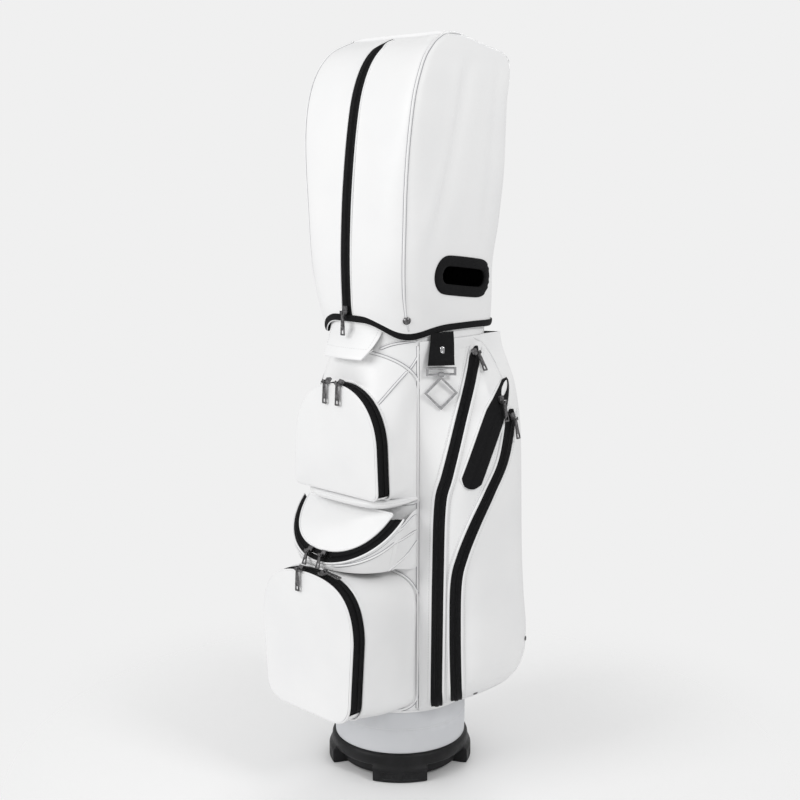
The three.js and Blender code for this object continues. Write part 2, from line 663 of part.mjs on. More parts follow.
// A puller's own frame: origin on its pin, y along the blade.
function pullerBlade(length) {
  const blade = new THREE.Shape();
  blade.moveTo(-2.7, 1.9).lineTo(2.7, 1.9).lineTo(3.2, 8).lineTo(5.2, length - 1).lineTo(4.2, length);
  blade.lineTo(-4.2, length).lineTo(-5.2, length - 1).lineTo(-3.2, 8).lineTo(-2.7, 1.9);
  const eye = new THREE.Path().moveTo(-2.6, length - 9);
  eye.lineTo(2.6, length - 9).lineTo(3, length - 2.8).lineTo(-3, length - 2.8).lineTo(-2.6, length - 9);
  blade.holes.push(eye);
  const plate = new THREE.ExtrudeGeometry(blade, { depth: 2.2, bevelEnabled: false }).translate(0, 0, -1.1);
  return cut(join(barrel(3.1, 5.4), plate), barrel(1.7, 8));
}

function addZipPull(name, seat, across, outward, hang, length = 40) {
  const slider = addPiece(`${name}_slider`, sliderBody(), 'metal', frameAt(seat, across, outward));
  const pin = vec(0, 0, PIN_HEIGHT).applyMatrix4(slider.matrix);
  const blade = hang.clone().normalize();
  const axis = across.clone().addScaledVector(blade, -across.dot(blade)).normalize();
  const turned = new THREE.Matrix4().makeBasis(axis, blade, axis.clone().cross(blade)).setPosition(pin);
  addPiece(`${name}_puller`, pullerBlade(length), 'metal', turned);
  return slider;
}

const DOWN = vec(0, 0, -1);
const RIGHT = vec(1, 0, 0);
const LEANING = vec(0, -1, 1).normalize();
const HOVER = 0.9;

// Upper pocket: the two sliders meet at the top of the dome and run down it to either side.
const DOME_CENTRE = 622;
for (const [name, angle] of [['upper_left', -7.5], ['upper_right', 7.5]]) {
  const out = vec(Math.sin(radians(angle)), 0, Math.cos(radians(angle)));
  const seat = vec(0, UPPER_FACE - 1 - DOOR_THICK, DOME_CENTRE)
    .addScaledVector(out, UPPER_DOOR.high - DOME_CENTRE)
    .addScaledVector(out.clone().add(vec(0, -1, 0)), HOVER);
  const across = vec(out.z, 0, -out.x);
  addZipPull(name, seat, across, out.clone().add(vec(0, -1, 0)), DOWN);
}

// Lower pocket: one puller hangs over the door, the other lies along the tape.
const lowerEdge = vec(-14, LOWER_FACE - 1 - DOOR_THICK - HOVER, LOWER_DOOR.high + HOVER);
addZipPull('lower_left', lowerEdge, RIGHT, LEANING, DOWN);
const lowerTop = vec(40, LOWER_FACE + 6, LOWER_DOOR.high + 2.6 + HOVER);
addZipPull('lower_right', lowerTop, vec(0, 1, 0), vec(0, 0, 1), vec(1, 0, -0.14));

// Middle pocket: both sliders sit on the tape below the lid's front edge.
for (const [name, x] of [['middle_left', -22], ['middle_right', 14]]) {
  const seat = lidPoint(x, LID.high + 14, -DOOR_THICK + 1);
  addZipPull(name, seat, RIGHT, vec(0, -0.8, 0.6), vec(0, -0.3, -0.95), 24);
}

// Side pocket zips: each slider is near the upper end of its band and runs down it. Its stops are
// three places that it passes, which give the arc that it turns on.
function bandSeat(route, z, off) {
  const across = readTable(route.map(([a, height]) => [height, a]).reverse(), z);
  const { point, outward } = sideAcross(across, z);
  return { seat: point.addScaledVector(outward, off), outward };
}

for (const [name, z, run] of [['long', 784, 36], ['curved', 672, 50], ['slant', 704, 50]]) {
  const { seat, outward } = bandSeat(ROUTES[name], z, BAND_OFF + TAPE + HOVER);
  const along = vec(-outward.y, outward.x, 0).normalize();
  const lean = bandSeat(ROUTES[name], z - 36, BAND_OFF + TAPE + 3).seat.sub(seat);
  lean.addScaledVector(along, -lean.dot(along));
  const bulging = lean.x * outward.x + lean.y * outward.y > 0;
  const slider = addZipPull(name, seat, along, outward, bulging ? lean : DOWN, 36);
  slider.userData.stops = [z, z - run / 2, z - run].map((height) => {
    return bandSeat(ROUTES[name], height, BAND_OFF + TAPE + HOVER).seat;
  });
}

const leftStops = [684, 634, 584].map((z) => leftZipPoint(z, BAND_OFF + TAPE + HOVER));
addZipPull('left', leftStops[0], vec(0, -1, 0), vec(-1, 0, 0.02), DOWN, 36).userData.stops = leftStops;

// Hood zip: the slider rests at the hem, with the puller hanging below it.
const hoodSeat = vec(0, -readTable(HOOD_SECTIONS, 870, 2) - 2.2 - HOVER, 868);
addZipPull('hood', hoodSeat, RIGHT, vec(0, -1, 0), DOWN);

export default bag;
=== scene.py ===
"""Looks of the golf staff bag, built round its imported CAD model.

Lengths are millimetres in the frame of the CAD model (+Z up, front facing -Y) until a mesh is made.
"""
import math

import bmesh
import bpy
import numpy as np
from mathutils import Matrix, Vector


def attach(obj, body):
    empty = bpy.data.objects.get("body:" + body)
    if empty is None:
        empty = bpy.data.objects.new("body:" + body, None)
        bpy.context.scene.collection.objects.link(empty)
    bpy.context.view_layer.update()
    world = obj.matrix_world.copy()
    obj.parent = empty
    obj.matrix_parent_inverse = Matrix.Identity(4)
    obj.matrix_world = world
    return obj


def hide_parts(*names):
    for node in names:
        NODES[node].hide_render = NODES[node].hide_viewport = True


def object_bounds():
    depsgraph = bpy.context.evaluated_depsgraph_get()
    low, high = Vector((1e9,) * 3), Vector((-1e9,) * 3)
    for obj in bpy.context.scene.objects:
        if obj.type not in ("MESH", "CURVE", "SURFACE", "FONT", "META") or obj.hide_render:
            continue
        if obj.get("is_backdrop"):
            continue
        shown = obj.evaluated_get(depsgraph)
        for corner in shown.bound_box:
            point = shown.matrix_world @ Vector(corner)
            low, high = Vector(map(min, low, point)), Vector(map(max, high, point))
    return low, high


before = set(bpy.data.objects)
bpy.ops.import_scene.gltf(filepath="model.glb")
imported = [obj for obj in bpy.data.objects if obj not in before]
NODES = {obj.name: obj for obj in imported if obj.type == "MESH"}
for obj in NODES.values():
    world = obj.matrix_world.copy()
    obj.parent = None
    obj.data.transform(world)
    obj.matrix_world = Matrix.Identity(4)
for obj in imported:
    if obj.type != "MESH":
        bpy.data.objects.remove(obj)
cad_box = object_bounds()
MM = 0.001

# ---- Driving dimensions, as in the CAD model ------------------------------------------
COLLAR = (52.4, 133.6)
BODY = (134, 858)
CUFF = (858.4, 880)
LUG_HALF_ANGLE = 23
LOW_SECTION = dict(z=120, half=125, front=125, back=125, front_power=2, back_power=2)
HIGH_SECTION = dict(z=850, half=120, front=122, back=143, front_power=2.3, back_power=4)
WELL_WALLS = (-35, 55)

OUTLINES = {
    "upper_door": dict(low=550, high=742, low_half=107, corner=12, shoulder=(103, 640), pull=(99, 700),
                       crown=60),
    "upper_back": dict(low=531, high=800, low_half=108, corner=10, shoulder=(108, 735), pull=(106, 780),
                       crown=80),
    "lower_door": dict(low=156, high=412, low_half=110, corner=46, shoulder=(118, 310), pull=(116, 388),
                       crown=78),
    "lower_back": dict(low=140, high=414, low_half=106, corner=30, shoulder=(108, 330), pull=(108, 400),
                       crown=90),
    "lid": dict(low=0, high=100, low_half=110, corner=4, shoulder=(109, 8), pull=(103, 62), crown=66),
}
UPPER_FACE, LOWER_FACE, TAPE_WIDTH = -162, -233, 28
LID_HINGE_Y, LID_HINGE_Z, LID_TAPE, LID_DROP = -128, 521, 22, 8
SHELF = dict(z=418, half=108, front=-205, back=-128)
SEAM_Y = -64  # where the side seams run down the body
FORWARD = (0, -1, 0)

SIDE_BULGE = [
    (136, 1), (148, 34), (164, 66), (186, 92), (210, 107), (240, 113), (280, 112), (340, 104),
    (420, 97), (642, 88), (700, 77), (740, 62), (775, 36), (800, 13), (818, 1),
]
SIDE = dict(root=111, middle=45, front=108, rear=108, rear_low=86, low=136, high=820, close_at=62)
SIDE_LEFT_SCALE = 0.62
ROUTES = {
    "long": [(137, 800), (111, 695), (84, 587), (72, 532), (69, 400), (68, 270), (67, 152)],
    "curved": [(200, 690), (184, 605), (158, 550), (131, 495), (110, 440), (100, 392), (99, 300),
               (102, 166)],
}
ZIP_WIDTH, SLANT_WIDTH = 22, 26
LEFT_ZIP = dict(y=40, low=250, high=700)

HOOD = [  # height, half width, front reach, back reach, squareness of the front and back corners
    (838, 125, 129, 150, 2.4, 4.5), (880, 132, 132, 152, 3, 4), (950, 139, 134, 154, 3.7, 3.4),
    (1040, 143, 131, 157, 4.3, 4.4), (1120, 143, 125, 157, 6, 6), (1190, 143, 116, 156, 9, 6.6),
    (1238, 142, 106, 155, 11, 7.5), (1275, 141, 92, 155, 12, 10), (1300, 138, 77, 155, 12, 12),
    (1318, 136, 60, 142, 12, 12), (1330, 133, 43, 98, 10, 9), (1340, 129, 20, 60, 8, 7),
    (1346, 121, 5, 36, 6, 5), (1351, 100, 3, 22, 4, 4),
]
HOOD_TOP_ROW = len(HOOD) - 1
BINDING = 12
# The window, the front of the hood's hem and its zip follow the photograph more closely than the CAD.
WINDOW = dict(y=22, z=930, half=57, radius=16, tilt=math.radians(-7))

TAB = dict(across=72, half=24, low=779, high=822, stud=809)
LOOP_PIN = np.array([139.5, -37.5, 773.0])
HANGER_FACE = math.radians(-35)

# ---- Curves and tables ----------------------------------------------------------------
def lerp(a, b, t):
    return a + (b - a) * t


def smoothstep(x, low, high):
    t = np.clip((x - low) / (high - low), 0, 1)
    return t * t * (3 - 2 * t)


def bend(value, power):
    return np.sign(value) * np.abs(value) ** (2 / power)


def bell(x, width):
    return np.exp(-(x / width) ** 2)


def unit(v):
    v = np.asarray(v, float)
    return v / np.maximum(np.linalg.norm(v, axis=-1, keepdims=True), 1e-12)


def smooth_read(table, x, column=1):
    """Value of a table's column at x, through a curve that doesn't overshoot between the rows."""
    xs = np.array([row[0] for row in table], float)
    ys = np.array([row[column] for row in table], float)
    steps = np.diff(ys) / np.diff(xs)
    slopes = np.zeros(len(xs))
    same = steps[1:] * steps[:-1] > 0
    with np.errstate(divide="ignore", invalid="ignore"):
        mean = 2 / (1 / steps[1:] + 1 / steps[:-1])
    slopes[1:-1] = np.where(same, mean, 0)
    slopes[0], slopes[-1] = steps[0], steps[-1]
    x = np.clip(x, xs[0], xs[-1])
    i = np.clip(np.searchsorted(xs, x) - 1, 0, len(xs) - 2)
    width = xs[i + 1] - xs[i]
    t = (x - xs[i]) / width
    a, b = ys[i], ys[i + 1]
    return (
        a * (1 + 2 * t) * (1 - t) ** 2 + slopes[i] * width * t * (1 - t) ** 2
        + b * t * t * (3 - 2 * t) + slopes[i + 1] * width * t * t * (t - 1)
    )


def running_length(points):
    """Length along a line at each of its points."""
    return np.concatenate([[0], np.cumsum(np.linalg.norm(np.diff(points, axis=0), axis=1))])


def facing(direction, count):
    """The same direction for each of a number of points."""
    return np.tile(np.asarray(direction, float), (count, 1))


def resample(points, count, closed=False):
    """The same line with evenly spaced points."""
    points = np.asarray(points, float)
    if closed:
        points = np.vstack([points, points[:1]])
    lengths = running_length(points)
    at = np.linspace(0, lengths[-1], count, endpoint=not closed)
    return np.stack([np.interp(at, lengths, points[:, k]) for k in range(points.shape[1])], axis=1)


def spline(points, count):
    """Evenly spaced points on a smooth curve through the given ones."""
    p = np.asarray(points, float)
    p = np.vstack([2 * p[0] - p[1], p, 2 * p[-1] - p[-2]])
    t = np.linspace(0, 1, 24, endpoint=False)[:, None]
    parts = []
    for a, b, c, d in zip(p[:-3], p[1:-2], p[2:-1], p[3:]):
        squared, cubed = 2 * a - 5 * b + 4 * c - d, 3 * b - a - 3 * c + d
        parts.append(0.5 * (2 * b + (c - a) * t + squared * t**2 + cubed * t**3))
    return resample(np.vstack(parts + [p[-2:-1]]), count)


def bezier(a, b, c, d, count=24):
    t = np.linspace(0, 1, count)[:, None]
    a, b, c, d = (np.array(v, float) for v in (a, b, c, d))
    return a * (1 - t) ** 3 + 3 * b * t * (1 - t) ** 2 + 3 * c * t * t * (1 - t) + d * t**3


# ---- Surfaces of the bag --------------------------------------------------------------
def section_at(z):
    s = min(max((z - LOW_SECTION["z"]) / (HIGH_SECTION["z"] - LOW_SECTION["z"]), 0), 1)
    return {key: lerp(LOW_SECTION[key], HIGH_SECTION[key], s) for key in LOW_SECTION}


def oval_point(section, angle, inset, z):
    c, s = np.cos(angle), np.sin(angle)
    ahead = s < 0
    power = np.where(ahead, section["front_power"], section["back_power"])
    reach = np.where(ahead, section["front"], section["back"])
    x = (section["half"] - inset) * bend(c, power)
    y = (reach - inset) * bend(s, power)
    return np.stack([x, y, np.full_like(x, z)], axis=-1)


def oval_loop(section, inset, z, count):
    """Closed loop that starts at the middle of the front."""
    angles = np.linspace(-math.pi / 2, 1.5 * math.pi, 3000, endpoint=False)
    return resample(oval_point(section, angles, inset, z), count, closed=True)


def body_front(x, z):
    s = section_at(z)
    inside = np.maximum(0, 1 - np.abs(x / s["half"]) ** s["front_power"])
    return -s["front"] * inside ** (1 / s["front_power"])


def body_side(y, z):
    s = section_at(z)
    reach = np.where(y < 0, s["front"], s["back"])
    power = np.where(y < 0, s["front_power"], s["back_power"])
    return s["half"] * np.maximum(0, 1 - np.abs(y / reach) ** power) ** (1 / power)


def outline(o, grow, count=150):
    """Closed door outline as (x, height) points, from the middle of its low edge to +x and round."""
    low, high, wide = o["low"] - grow, o["high"] + grow, o["low_half"] + grow
    shoulder = (o["shoulder"][0] + grow, o["shoulder"][1])
    pull = (o["pull"][0] + grow, o["pull"][1] + grow * 0.6)
    corner_start, corner, corner_end = (wide - o["corner"], low), (wide, low), (wide, low + o["corner"])
    right = np.vstack([
        [(0, low)],
        bezier(corner_start, lerp(np.array(corner_start), np.array(corner), 2 / 3),
               lerp(np.array(corner_end), np.array(corner), 2 / 3), corner_end),
        bezier(shoulder, pull, (o["crown"], high), (0, high), 60),
    ])
    left = right[1:-1][::-1] * (-1, 1)
    return resample(np.vstack([right, left]), count, closed=True)


def at_face(points, y):
    return np.stack([points[:, 0], np.full(len(points), float(y)), points[:, 1]], axis=1)


def on_body(points, off):
    return np.array([(x, body_front(x, z) - off, z) for x, z in points])


def lid_point(x, down, above):
    slope = math.sqrt(0.5)
    y, z = LID_HINGE_Y - slope * (down + above), LID_HINGE_Z + slope * (above - down)
    return np.stack(np.broadcast_arrays(np.asarray(x, float), y, z), axis=-1)


def side_point(turn, z, inset=0, scale=1):
    bulge = max(float(smooth_read(SIDE_BULGE, z)) * scale - inset, 0)
    front_power = lerp(2.6, 1.15, smoothstep(z, 540, 700))
    rear = lerp(SIDE["rear_low"], SIDE["rear"], smoothstep(z, 130, 270))
    turn = np.asarray(turn, float)
    power = np.where(turn < 0, front_power, 3.2)
    reach = np.where(turn < 0, SIDE["front"], rear)
    y = SIDE["middle"] + (reach - inset) * bend(np.sin(turn), power)
    x = SIDE["root"] + bulge * bend(np.cos(turn), power)
    x = np.maximum(x, body_side(y, z) + 3.7 - inset)
    return np.stack([x, y, np.full_like(x, z)], axis=-1)


def left_across(y, z):
    """Point of the left pocket at (y, z) and its outward direction."""
    turns = np.radians(np.linspace(-89, 89, 700))
    line = side_point(turns, z, 0, SIDE_LEFT_SCALE)
    x = float(np.interp(y, line[:, 1], line[:, 0]))
    return np.array([-x, y, z]), np.array([-1.0, 0, 0])


def hood_section(t):
    rows = [(i, *row) for i, row in enumerate(HOOD)]
    z, half, front, back, front_power, back_power = (float(smooth_read(rows, t, k)) for k in range(1, 7))
    return z, dict(half=half, front=front, back=back, front_power=front_power, back_power=back_power)


def hood_hem(angle):
    turn = (angle + 1.5 * math.pi) % (2 * math.pi)
    from_front = np.abs(turn - math.pi)
    front = 12 * (1 - smoothstep(from_front, 0.2, 0.8))
    return 840 + front - 17 * bell(from_front - 0.95, 0.4) - 6 * smoothstep(from_front, 1, 2.2)


# ---- Materials ------------------------------------------------------------------------
class Look:
    """A node material, with short ways to add its texture nodes."""

    def __init__(self, name, slot, colour, roughness, metallic=0.0, specular=0.5):
        self.slot = slot
        self.material = bpy.data.materials.new(name)
        self.material.use_nodes = True
        self.nodes = self.material.node_tree.nodes
        self.links = self.material.node_tree.links
        self.shader = self.nodes["Principled BSDF"]
        self.material.diffuse_color = (*colour, 1)
        self.shader.inputs["Base Color"].default_value = (*colour, 1)
        self.shader.inputs["Roughness"].default_value = roughness
        self.shader.inputs["Metallic"].default_value = metallic
        self.shader.inputs["Specular IOR Level"].default_value = specular
        self.place = self.nodes.new("ShaderNodeTexCoord").outputs["Object"]
        self.height = None

    def node(self, kind, inputs=None, **settings):
        made = self.nodes.new("ShaderNode" + kind)
        for key, value in settings.items():
            setattr(made, key, value)
        for key, value in (inputs or {}).items():
            if isinstance(value, bpy.types.NodeSocket):
                self.links.new(value, made.inputs[key])
            else:
                made.inputs[key].default_value = value
        return made

    def noise(self, scale, detail=3.0, stretch=None):
        at = self.place
        if stretch:
            at = self.node("Mapping", {"Vector": at, "Scale": stretch}).outputs[0]
        return self.node("TexNoise", {"Vector": at, "Scale": scale, "Detail": detail}).outputs["Fac"]

    def cells(self, scale):
        return self.node("TexVoronoi", {"Vector": self.place, "Scale": scale}).outputs["Distance"]

    def math(self, operation, a, b=0.0):
        return self.node("Math", {0: a, 1: b}, operation=operation).outputs[0]

    def spread(self, value, low, high, to_low, to_high):
        inputs = {"Value": value, "From Min": low, "From Max": high, "To Min": to_low, "To Max": to_high}
        return self.node("MapRange", inputs).outputs["Result"]

    def tint(self, factor, dark, light):
        """Colour that goes from dark to light with a 0 to 1 factor."""
        ramp = self.node("ValToRGB", {"Fac": factor})
        ramp.color_ramp.elements[0].color = (*dark, 1)
        ramp.color_ramp.elements[1].color = (*light, 1)
        self.links.new(ramp.outputs[0], self.shader.inputs["Base Color"])

    def mottle(self, scale, detail, low, high, dark, light):
        """Uneven tone between dark and light."""
        self.tint(self.spread(self.noise(scale, detail), low, high, 0, 1), dark, light)

    def rough(self, factor, low, high):
        self.links.new(self.spread(factor, 0, 1, low, high), self.shader.inputs["Roughness"])

    def bump(self, height, distance, strength=1.0):
        """Adds a height in millimetres over those added before."""
        inputs = {"Height": height, "Distance": distance * MM, "Strength": strength}
        if self.height:
            inputs["Normal"] = self.height
        self.height = self.node("Bump", inputs).outputs[0]
        self.links.new(self.height, self.shader.inputs["Normal"])


def leather(name, slot, light, dark, roughness=0.42, grain=1.0):
    """Coated leather: pebble grain, soft hollows and a faint unevenness of tone and gloss."""
    look = Look(name, slot, light, roughness, specular=0.45)
    look.mottle(9, 4, 0.3, 0.7, dark, light)
    look.rough(look.noise(60, 3), roughness - 0.07, roughness + 0.07)
    look.bump(look.noise(14, 2), 1.6, 0.3)
    look.bump(look.cells(900), 0.16 * grain, 0.4)
    look.bump(look.noise(2400, 2), 0.06 * grain, 0.4)
    return look


def along_tape(look):
    """Distances across and along a strip, in millimetres, from its UV map."""
    uv = look.node("UVMap", uv_map="strip").outputs[0]
    parts = look.node("SeparateXYZ", {0: uv}).outputs
    return parts[0], parts[1]


def zip_look():
    """Black coil zip: close ribs across the raised coil and woven tape beside it."""
    look = Look("zip_black", "zip_tape", (0.007, 0.007, 0.0075), 0.66, specular=0.12)
    across, along = along_tape(look)

    def wave(distance, pitch):
        return look.math("SINE", look.math("MULTIPLY", distance, 2 * math.pi / pitch))
    rib = wave(along, 1.7)
    near = look.math("LESS_THAN", look.math("ABSOLUTE", across), 3.0)
    thread = look.math("MULTIPLY", wave(along, 0.8), wave(across, 0.9))
    look.bump(look.math("MULTIPLY", rib, near), 0.5, 0.7)
    look.bump(thread, 0.12, 0.6)
    look.mottle(300, 3, 0.3, 0.7, (0.005, 0.005, 0.0055), (0.011, 0.011, 0.012))
    return look


def woven(name, slot, dark, light, pitch, roughness, relief):
    """Woven cloth whose threads cross in the object's own directions."""
    look = Look(name, slot, light, roughness, specular=0.12)
    x, y, z = look.node("SeparateXYZ", {0: look.place}).outputs
    turn = 2 * math.pi / (pitch * MM)
    round_it = look.math("SINE", look.math("MULTIPLY", look.math("ADD", x, y), turn))
    up = look.math("SINE", look.math("MULTIPLY", z, turn))
    weave = look.spread(look.math("MULTIPLY", round_it, up), -1, 1, 0, 1)
    look.bump(weave, relief, 0.7)
    look.bump(look.noise(40, 2), 0.8, 0.25)
    look.tint(look.spread(look.math("ADD", weave, look.noise(200, 3)), 0.5, 1.5, 0, 1), dark, light)
    look.shader.inputs["Sheen Weight"].default_value = 0.02
    look.shader.inputs["Sheen Roughness"].default_value = 0.5
    return look


def plastic(name, slot, dark, light):
    look = Look(name, slot, light, 0.45, specular=0.2)
    look.mottle(25, 3, 0.3, 0.7, dark, light)
    look.rough(look.noise(120, 4), 0.36, 0.56)
    look.bump(look.cells(1300), 0.14, 0.5)
    look.bump(look.noise(500, 3), 0.08, 0.4)
    return look


def metal(name, slot, dark, light, low, high, brushed=(1, 1, 1)):
    look = Look(name, slot, light, low, metallic=1.0)
    look.mottle(180, 4, 0.35, 0.65, dark, light)
    look.rough(look.noise(350, 4, brushed), low, high)
    look.bump(look.noise(700, 3, brushed), 0.03, 0.35)
    return look


WHITE = leather("white_leather", "white_leather", (0.905, 0.905, 0.905), (0.87, 0.872, 0.876))
HOOD_WHITE = leather("hood_leather", "white_leather", (0.905, 0.905, 0.905), (0.875, 0.876, 0.88), 0.5, 0.7)
COLLAR_GREY = leather("collar_leather", "white_leather", (0.66, 0.67, 0.69), (0.6, 0.61, 0.635), 0.46)
PIPING = leather("piping_leather", "white_leather", (0.9, 0.9, 0.9), (0.84, 0.842, 0.848), 0.36, 0.6)
# Dark grey for the thin strips beside the piping: painted shade along the seams.
PAINTED_SEAM_SHADE = leather("painted_seam_shade", "white_leather", (0.42, 0.42, 0.44), (0.34, 0.34, 0.36), 0.6)
THREAD = woven("white_thread", "white_leather", (0.7, 0.7, 0.7), (0.86, 0.86, 0.86), 0.5, 0.7, 0.1)
ZIP = zip_look()
WEBBING = woven("black_webbing", "black_webbing", (0.004, 0.004, 0.0045), (0.014, 0.014, 0.015), 1.8, 0.78,
                0.35)
LINING = woven("soft_lining", "soft_lining", (0.016, 0.016, 0.017), (0.036, 0.036, 0.038), 1.1, 0.9, 0.2)
NEOPRENE = woven("foam_rubber", "soft_lining", (0.005, 0.005, 0.0055), (0.013, 0.013, 0.014), 0.7, 0.8,
                 0.15)
PLASTIC = plastic("base_plastic", "black_plastic", (0.007, 0.007, 0.0075), (0.015, 0.015, 0.016))
ROD = metal("stay_metal", "stay_metal", (0.5, 0.5, 0.52), (0.62, 0.62, 0.64), 0.25, 0.42, (1, 1, 0.05))
CHROME = metal("bright_chrome", "bright_chrome", (0.42, 0.42, 0.43), (0.6, 0.6, 0.61), 0.08, 0.18)
NICKEL = metal("dark_nickel", "dark_nickel", (0.1, 0.098, 0.1), (0.26, 0.255, 0.26), 0.2, 0.38)

# ---- Meshes ---------------------------------------------------------------------------
def make_piece(name, verts, faces, look, body, strip=None, looks=(), inner_from=None):
    """Closed mesh as a shaded piece on a body. strip gives (across, along) for each vertex."""
    mesh = bpy.data.meshes.new(name)
    mesh.from_pydata((np.asarray(verts) * MM).tolist(), [], [tuple(int(i) for i in f) for f in faces])
    if strip is not None:
        layer = mesh.uv_layers.new(name="strip")
        corner = np.empty(len(mesh.loops), dtype=np.int32)
        mesh.loops.foreach_get("vertex_index", corner)
        layer.data.foreach_set("uv", np.asarray(strip, dtype=np.float32)[corner].ravel())
    for each in (look, *looks):
        mesh.materials.append(each.material)
    if inner_from is not None:
        marks = np.zeros(len(mesh.polygons), dtype=np.int32)
        marks[inner_from[0]:inner_from[1]] = 1
        mesh.polygons.foreach_set("material_index", marks)
    shaping = bmesh.new()
    shaping.from_mesh(mesh)
    bmesh.ops.remove_doubles(shaping, verts=shaping.verts, dist=1e-3 * MM)
    bmesh.ops.dissolve_degenerate(shaping, dist=1e-4 * MM, edges=shaping.edges)
    bmesh.ops.recalc_face_normals(shaping, faces=shaping.faces)
    shaping.to_mesh(mesh)
    shaping.free()
    mesh.polygons.foreach_set("use_smooth", np.ones(len(mesh.polygons), dtype=bool))
    piece = bpy.data.objects.new(name, mesh)
    bpy.context.scene.collection.objects.link(piece)
    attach(piece, body)
    return piece


def bevel(piece, width, segments=2, angle=35):
    rounding = piece.modifiers.new("edges", "BEVEL")
    rounding.width = width * MM
    rounding.segments = segments
    rounding.limit_method = "ANGLE"
    rounding.angle_limit = math.radians(angle)
    rounding.harden_normals = False
    return piece


def wall(name, outer, inner, look, body, ring=False, inner_look=None, edge=0.6):
    """Closed wall between two grids of points (rows, columns, 3)."""
    outer, inner = np.asarray(outer, float), np.asarray(inner, float)
    rows, count = outer.shape[:2]
    half = rows * count
    columns = range(count if ring else count - 1)
    faces, inside, rims = [], [], []
    for r in range(rows - 1):
        for i in columns:
            a, b = r * count + i, r * count + (i + 1) % count
            faces.append((a, b, b + count, a + count))
            inside.append((half + b, half + a, half + a + count, half + b + count))
    top = half - count
    for i in columns:
        j = (i + 1) % count
        rims += [(j, i, half + i, half + j), (top + i, top + j, half + top + j, half + top + i)]
    if not ring:
        for r in range(rows - 1):
            a, b = r * count, r * count + count - 1
            rims += [(a, a + count, half + a + count, half + a), (b + count, b, half + b, half + b + count)]
    verts = np.vstack([outer.reshape(-1, 3), inner.reshape(-1, 3)])
    marks = (len(faces), len(faces) + len(inside)) if inner_look else None
    looks = (inner_look,) if inner_look else ()
    piece = make_piece(name, verts, faces + inside + rims, look, body, looks=looks, inner_from=marks)
    return bevel(piece, edge) if edge else piece


def grid_out(grid, ring, centre=(0, 0)):
    """Directions out of a grid of points, away from a vertical line."""
    grid = np.asarray(grid, float)
    if ring:
        across = np.roll(grid, -1, 1) - np.roll(grid, 1, 1)
    else:
        across = np.gradient(grid, axis=1)
    out = unit(np.cross(across, np.gradient(grid, axis=0)))
    away = grid - np.array([*centre, 0.0])
    away[..., 2] = 0
    return out * np.sign((out * away).sum())


def tube(name, rings, look, body, closed=False, strip=None, edge=0):
    """Skin over rings of points (steps, points, 3); an open run gets flat ends."""
    rings = np.asarray(rings, float)
    steps, count = rings.shape[:2]
    faces = []
    for s in range(steps if closed else steps - 1):
        a, b = s * count, ((s + 1) % steps) * count
        faces += [(a + i, a + (i + 1) % count, b + (i + 1) % count, b + i) for i in range(count)]
    if not closed:
        faces += [tuple(range(count - 1, -1, -1)), tuple((steps - 1) * count + i for i in range(count))]
    piece = make_piece(name, rings.reshape(-1, 3), faces, look, body, strip=strip)
    return bevel(piece, edge) if edge else piece


def path_frames(path, out, closed=False):
    path, out = np.asarray(path, float), np.asarray(out, float)
    if closed:
        tangent = np.roll(path, -1, 0) - np.roll(path, 1, 0)
    else:
        tangent = np.gradient(path, axis=0)
    side = unit(np.cross(tangent, np.broadcast_to(out, path.shape)))
    return side, unit(np.cross(side, tangent))


def sweep(name, path, out, profile, look, body, closed=False, taper=None, edge=0):
    """Sweeps a closed profile of (side, up) points along a path; out is the up direction at each point."""
    path, profile = np.asarray(path, float), np.asarray(profile, float)
    side, up = path_frames(path, out, closed)
    size = np.ones(len(path)) if taper is None else np.asarray(taper)
    spread = profile[None] * size[:, None, None]
    rings = path[:, None] + side[:, None] * spread[..., :1] + up[:, None] * spread[..., 1:]
    along = running_length(path)
    strip = np.stack(np.broadcast_arrays(profile[None, :, 0], along[:, None]), axis=-1).reshape(-1, 2)
    return tube(name, rings, look, body, closed, strip, edge)


def circle(radius, sides=10):
    turns = np.linspace(0, 2 * math.pi, sides, endpoint=False)
    return np.stack([radius * np.cos(turns), radius * np.sin(turns)], axis=1)


def piping(name, path, out, radius, body, closed=False, rise=0.0, fade=False, crease=None):
    """Round cord under leather that covers a seam; crease is the height of the dark grey strips beside it,
    which are painted shade along the seam.
    """
    path = np.asarray(path, float) + np.asarray(out, float) * rise
    ends = np.linspace(0, 1, len(path))
    taper = np.clip(np.minimum(ends, 1 - ends) * 14 + 0.25, 0, 1) if fade else None
    # The strips at each side of the cord are painted shade: dark grey where the seam sinks.
    if crease is not None:
        half = radius + 1.1
        side = [(half - 0.5, 0.3), (half, 0.0), (half, -0.4)]
        strip = np.array([(-x, y) for x, y in side[::-1]] + side)
        sunk = path + np.asarray(out, float) * crease
        sweep(f"{name}_crease", sunk, out, strip, PAINTED_SEAM_SHADE, body, closed, taper)
    return sweep(name, path, out, circle(radius), PIPING, body, closed, taper)


STITCH, STITCH_GAP, STITCH_RADIUS = 3.2, 1.8, 0.42


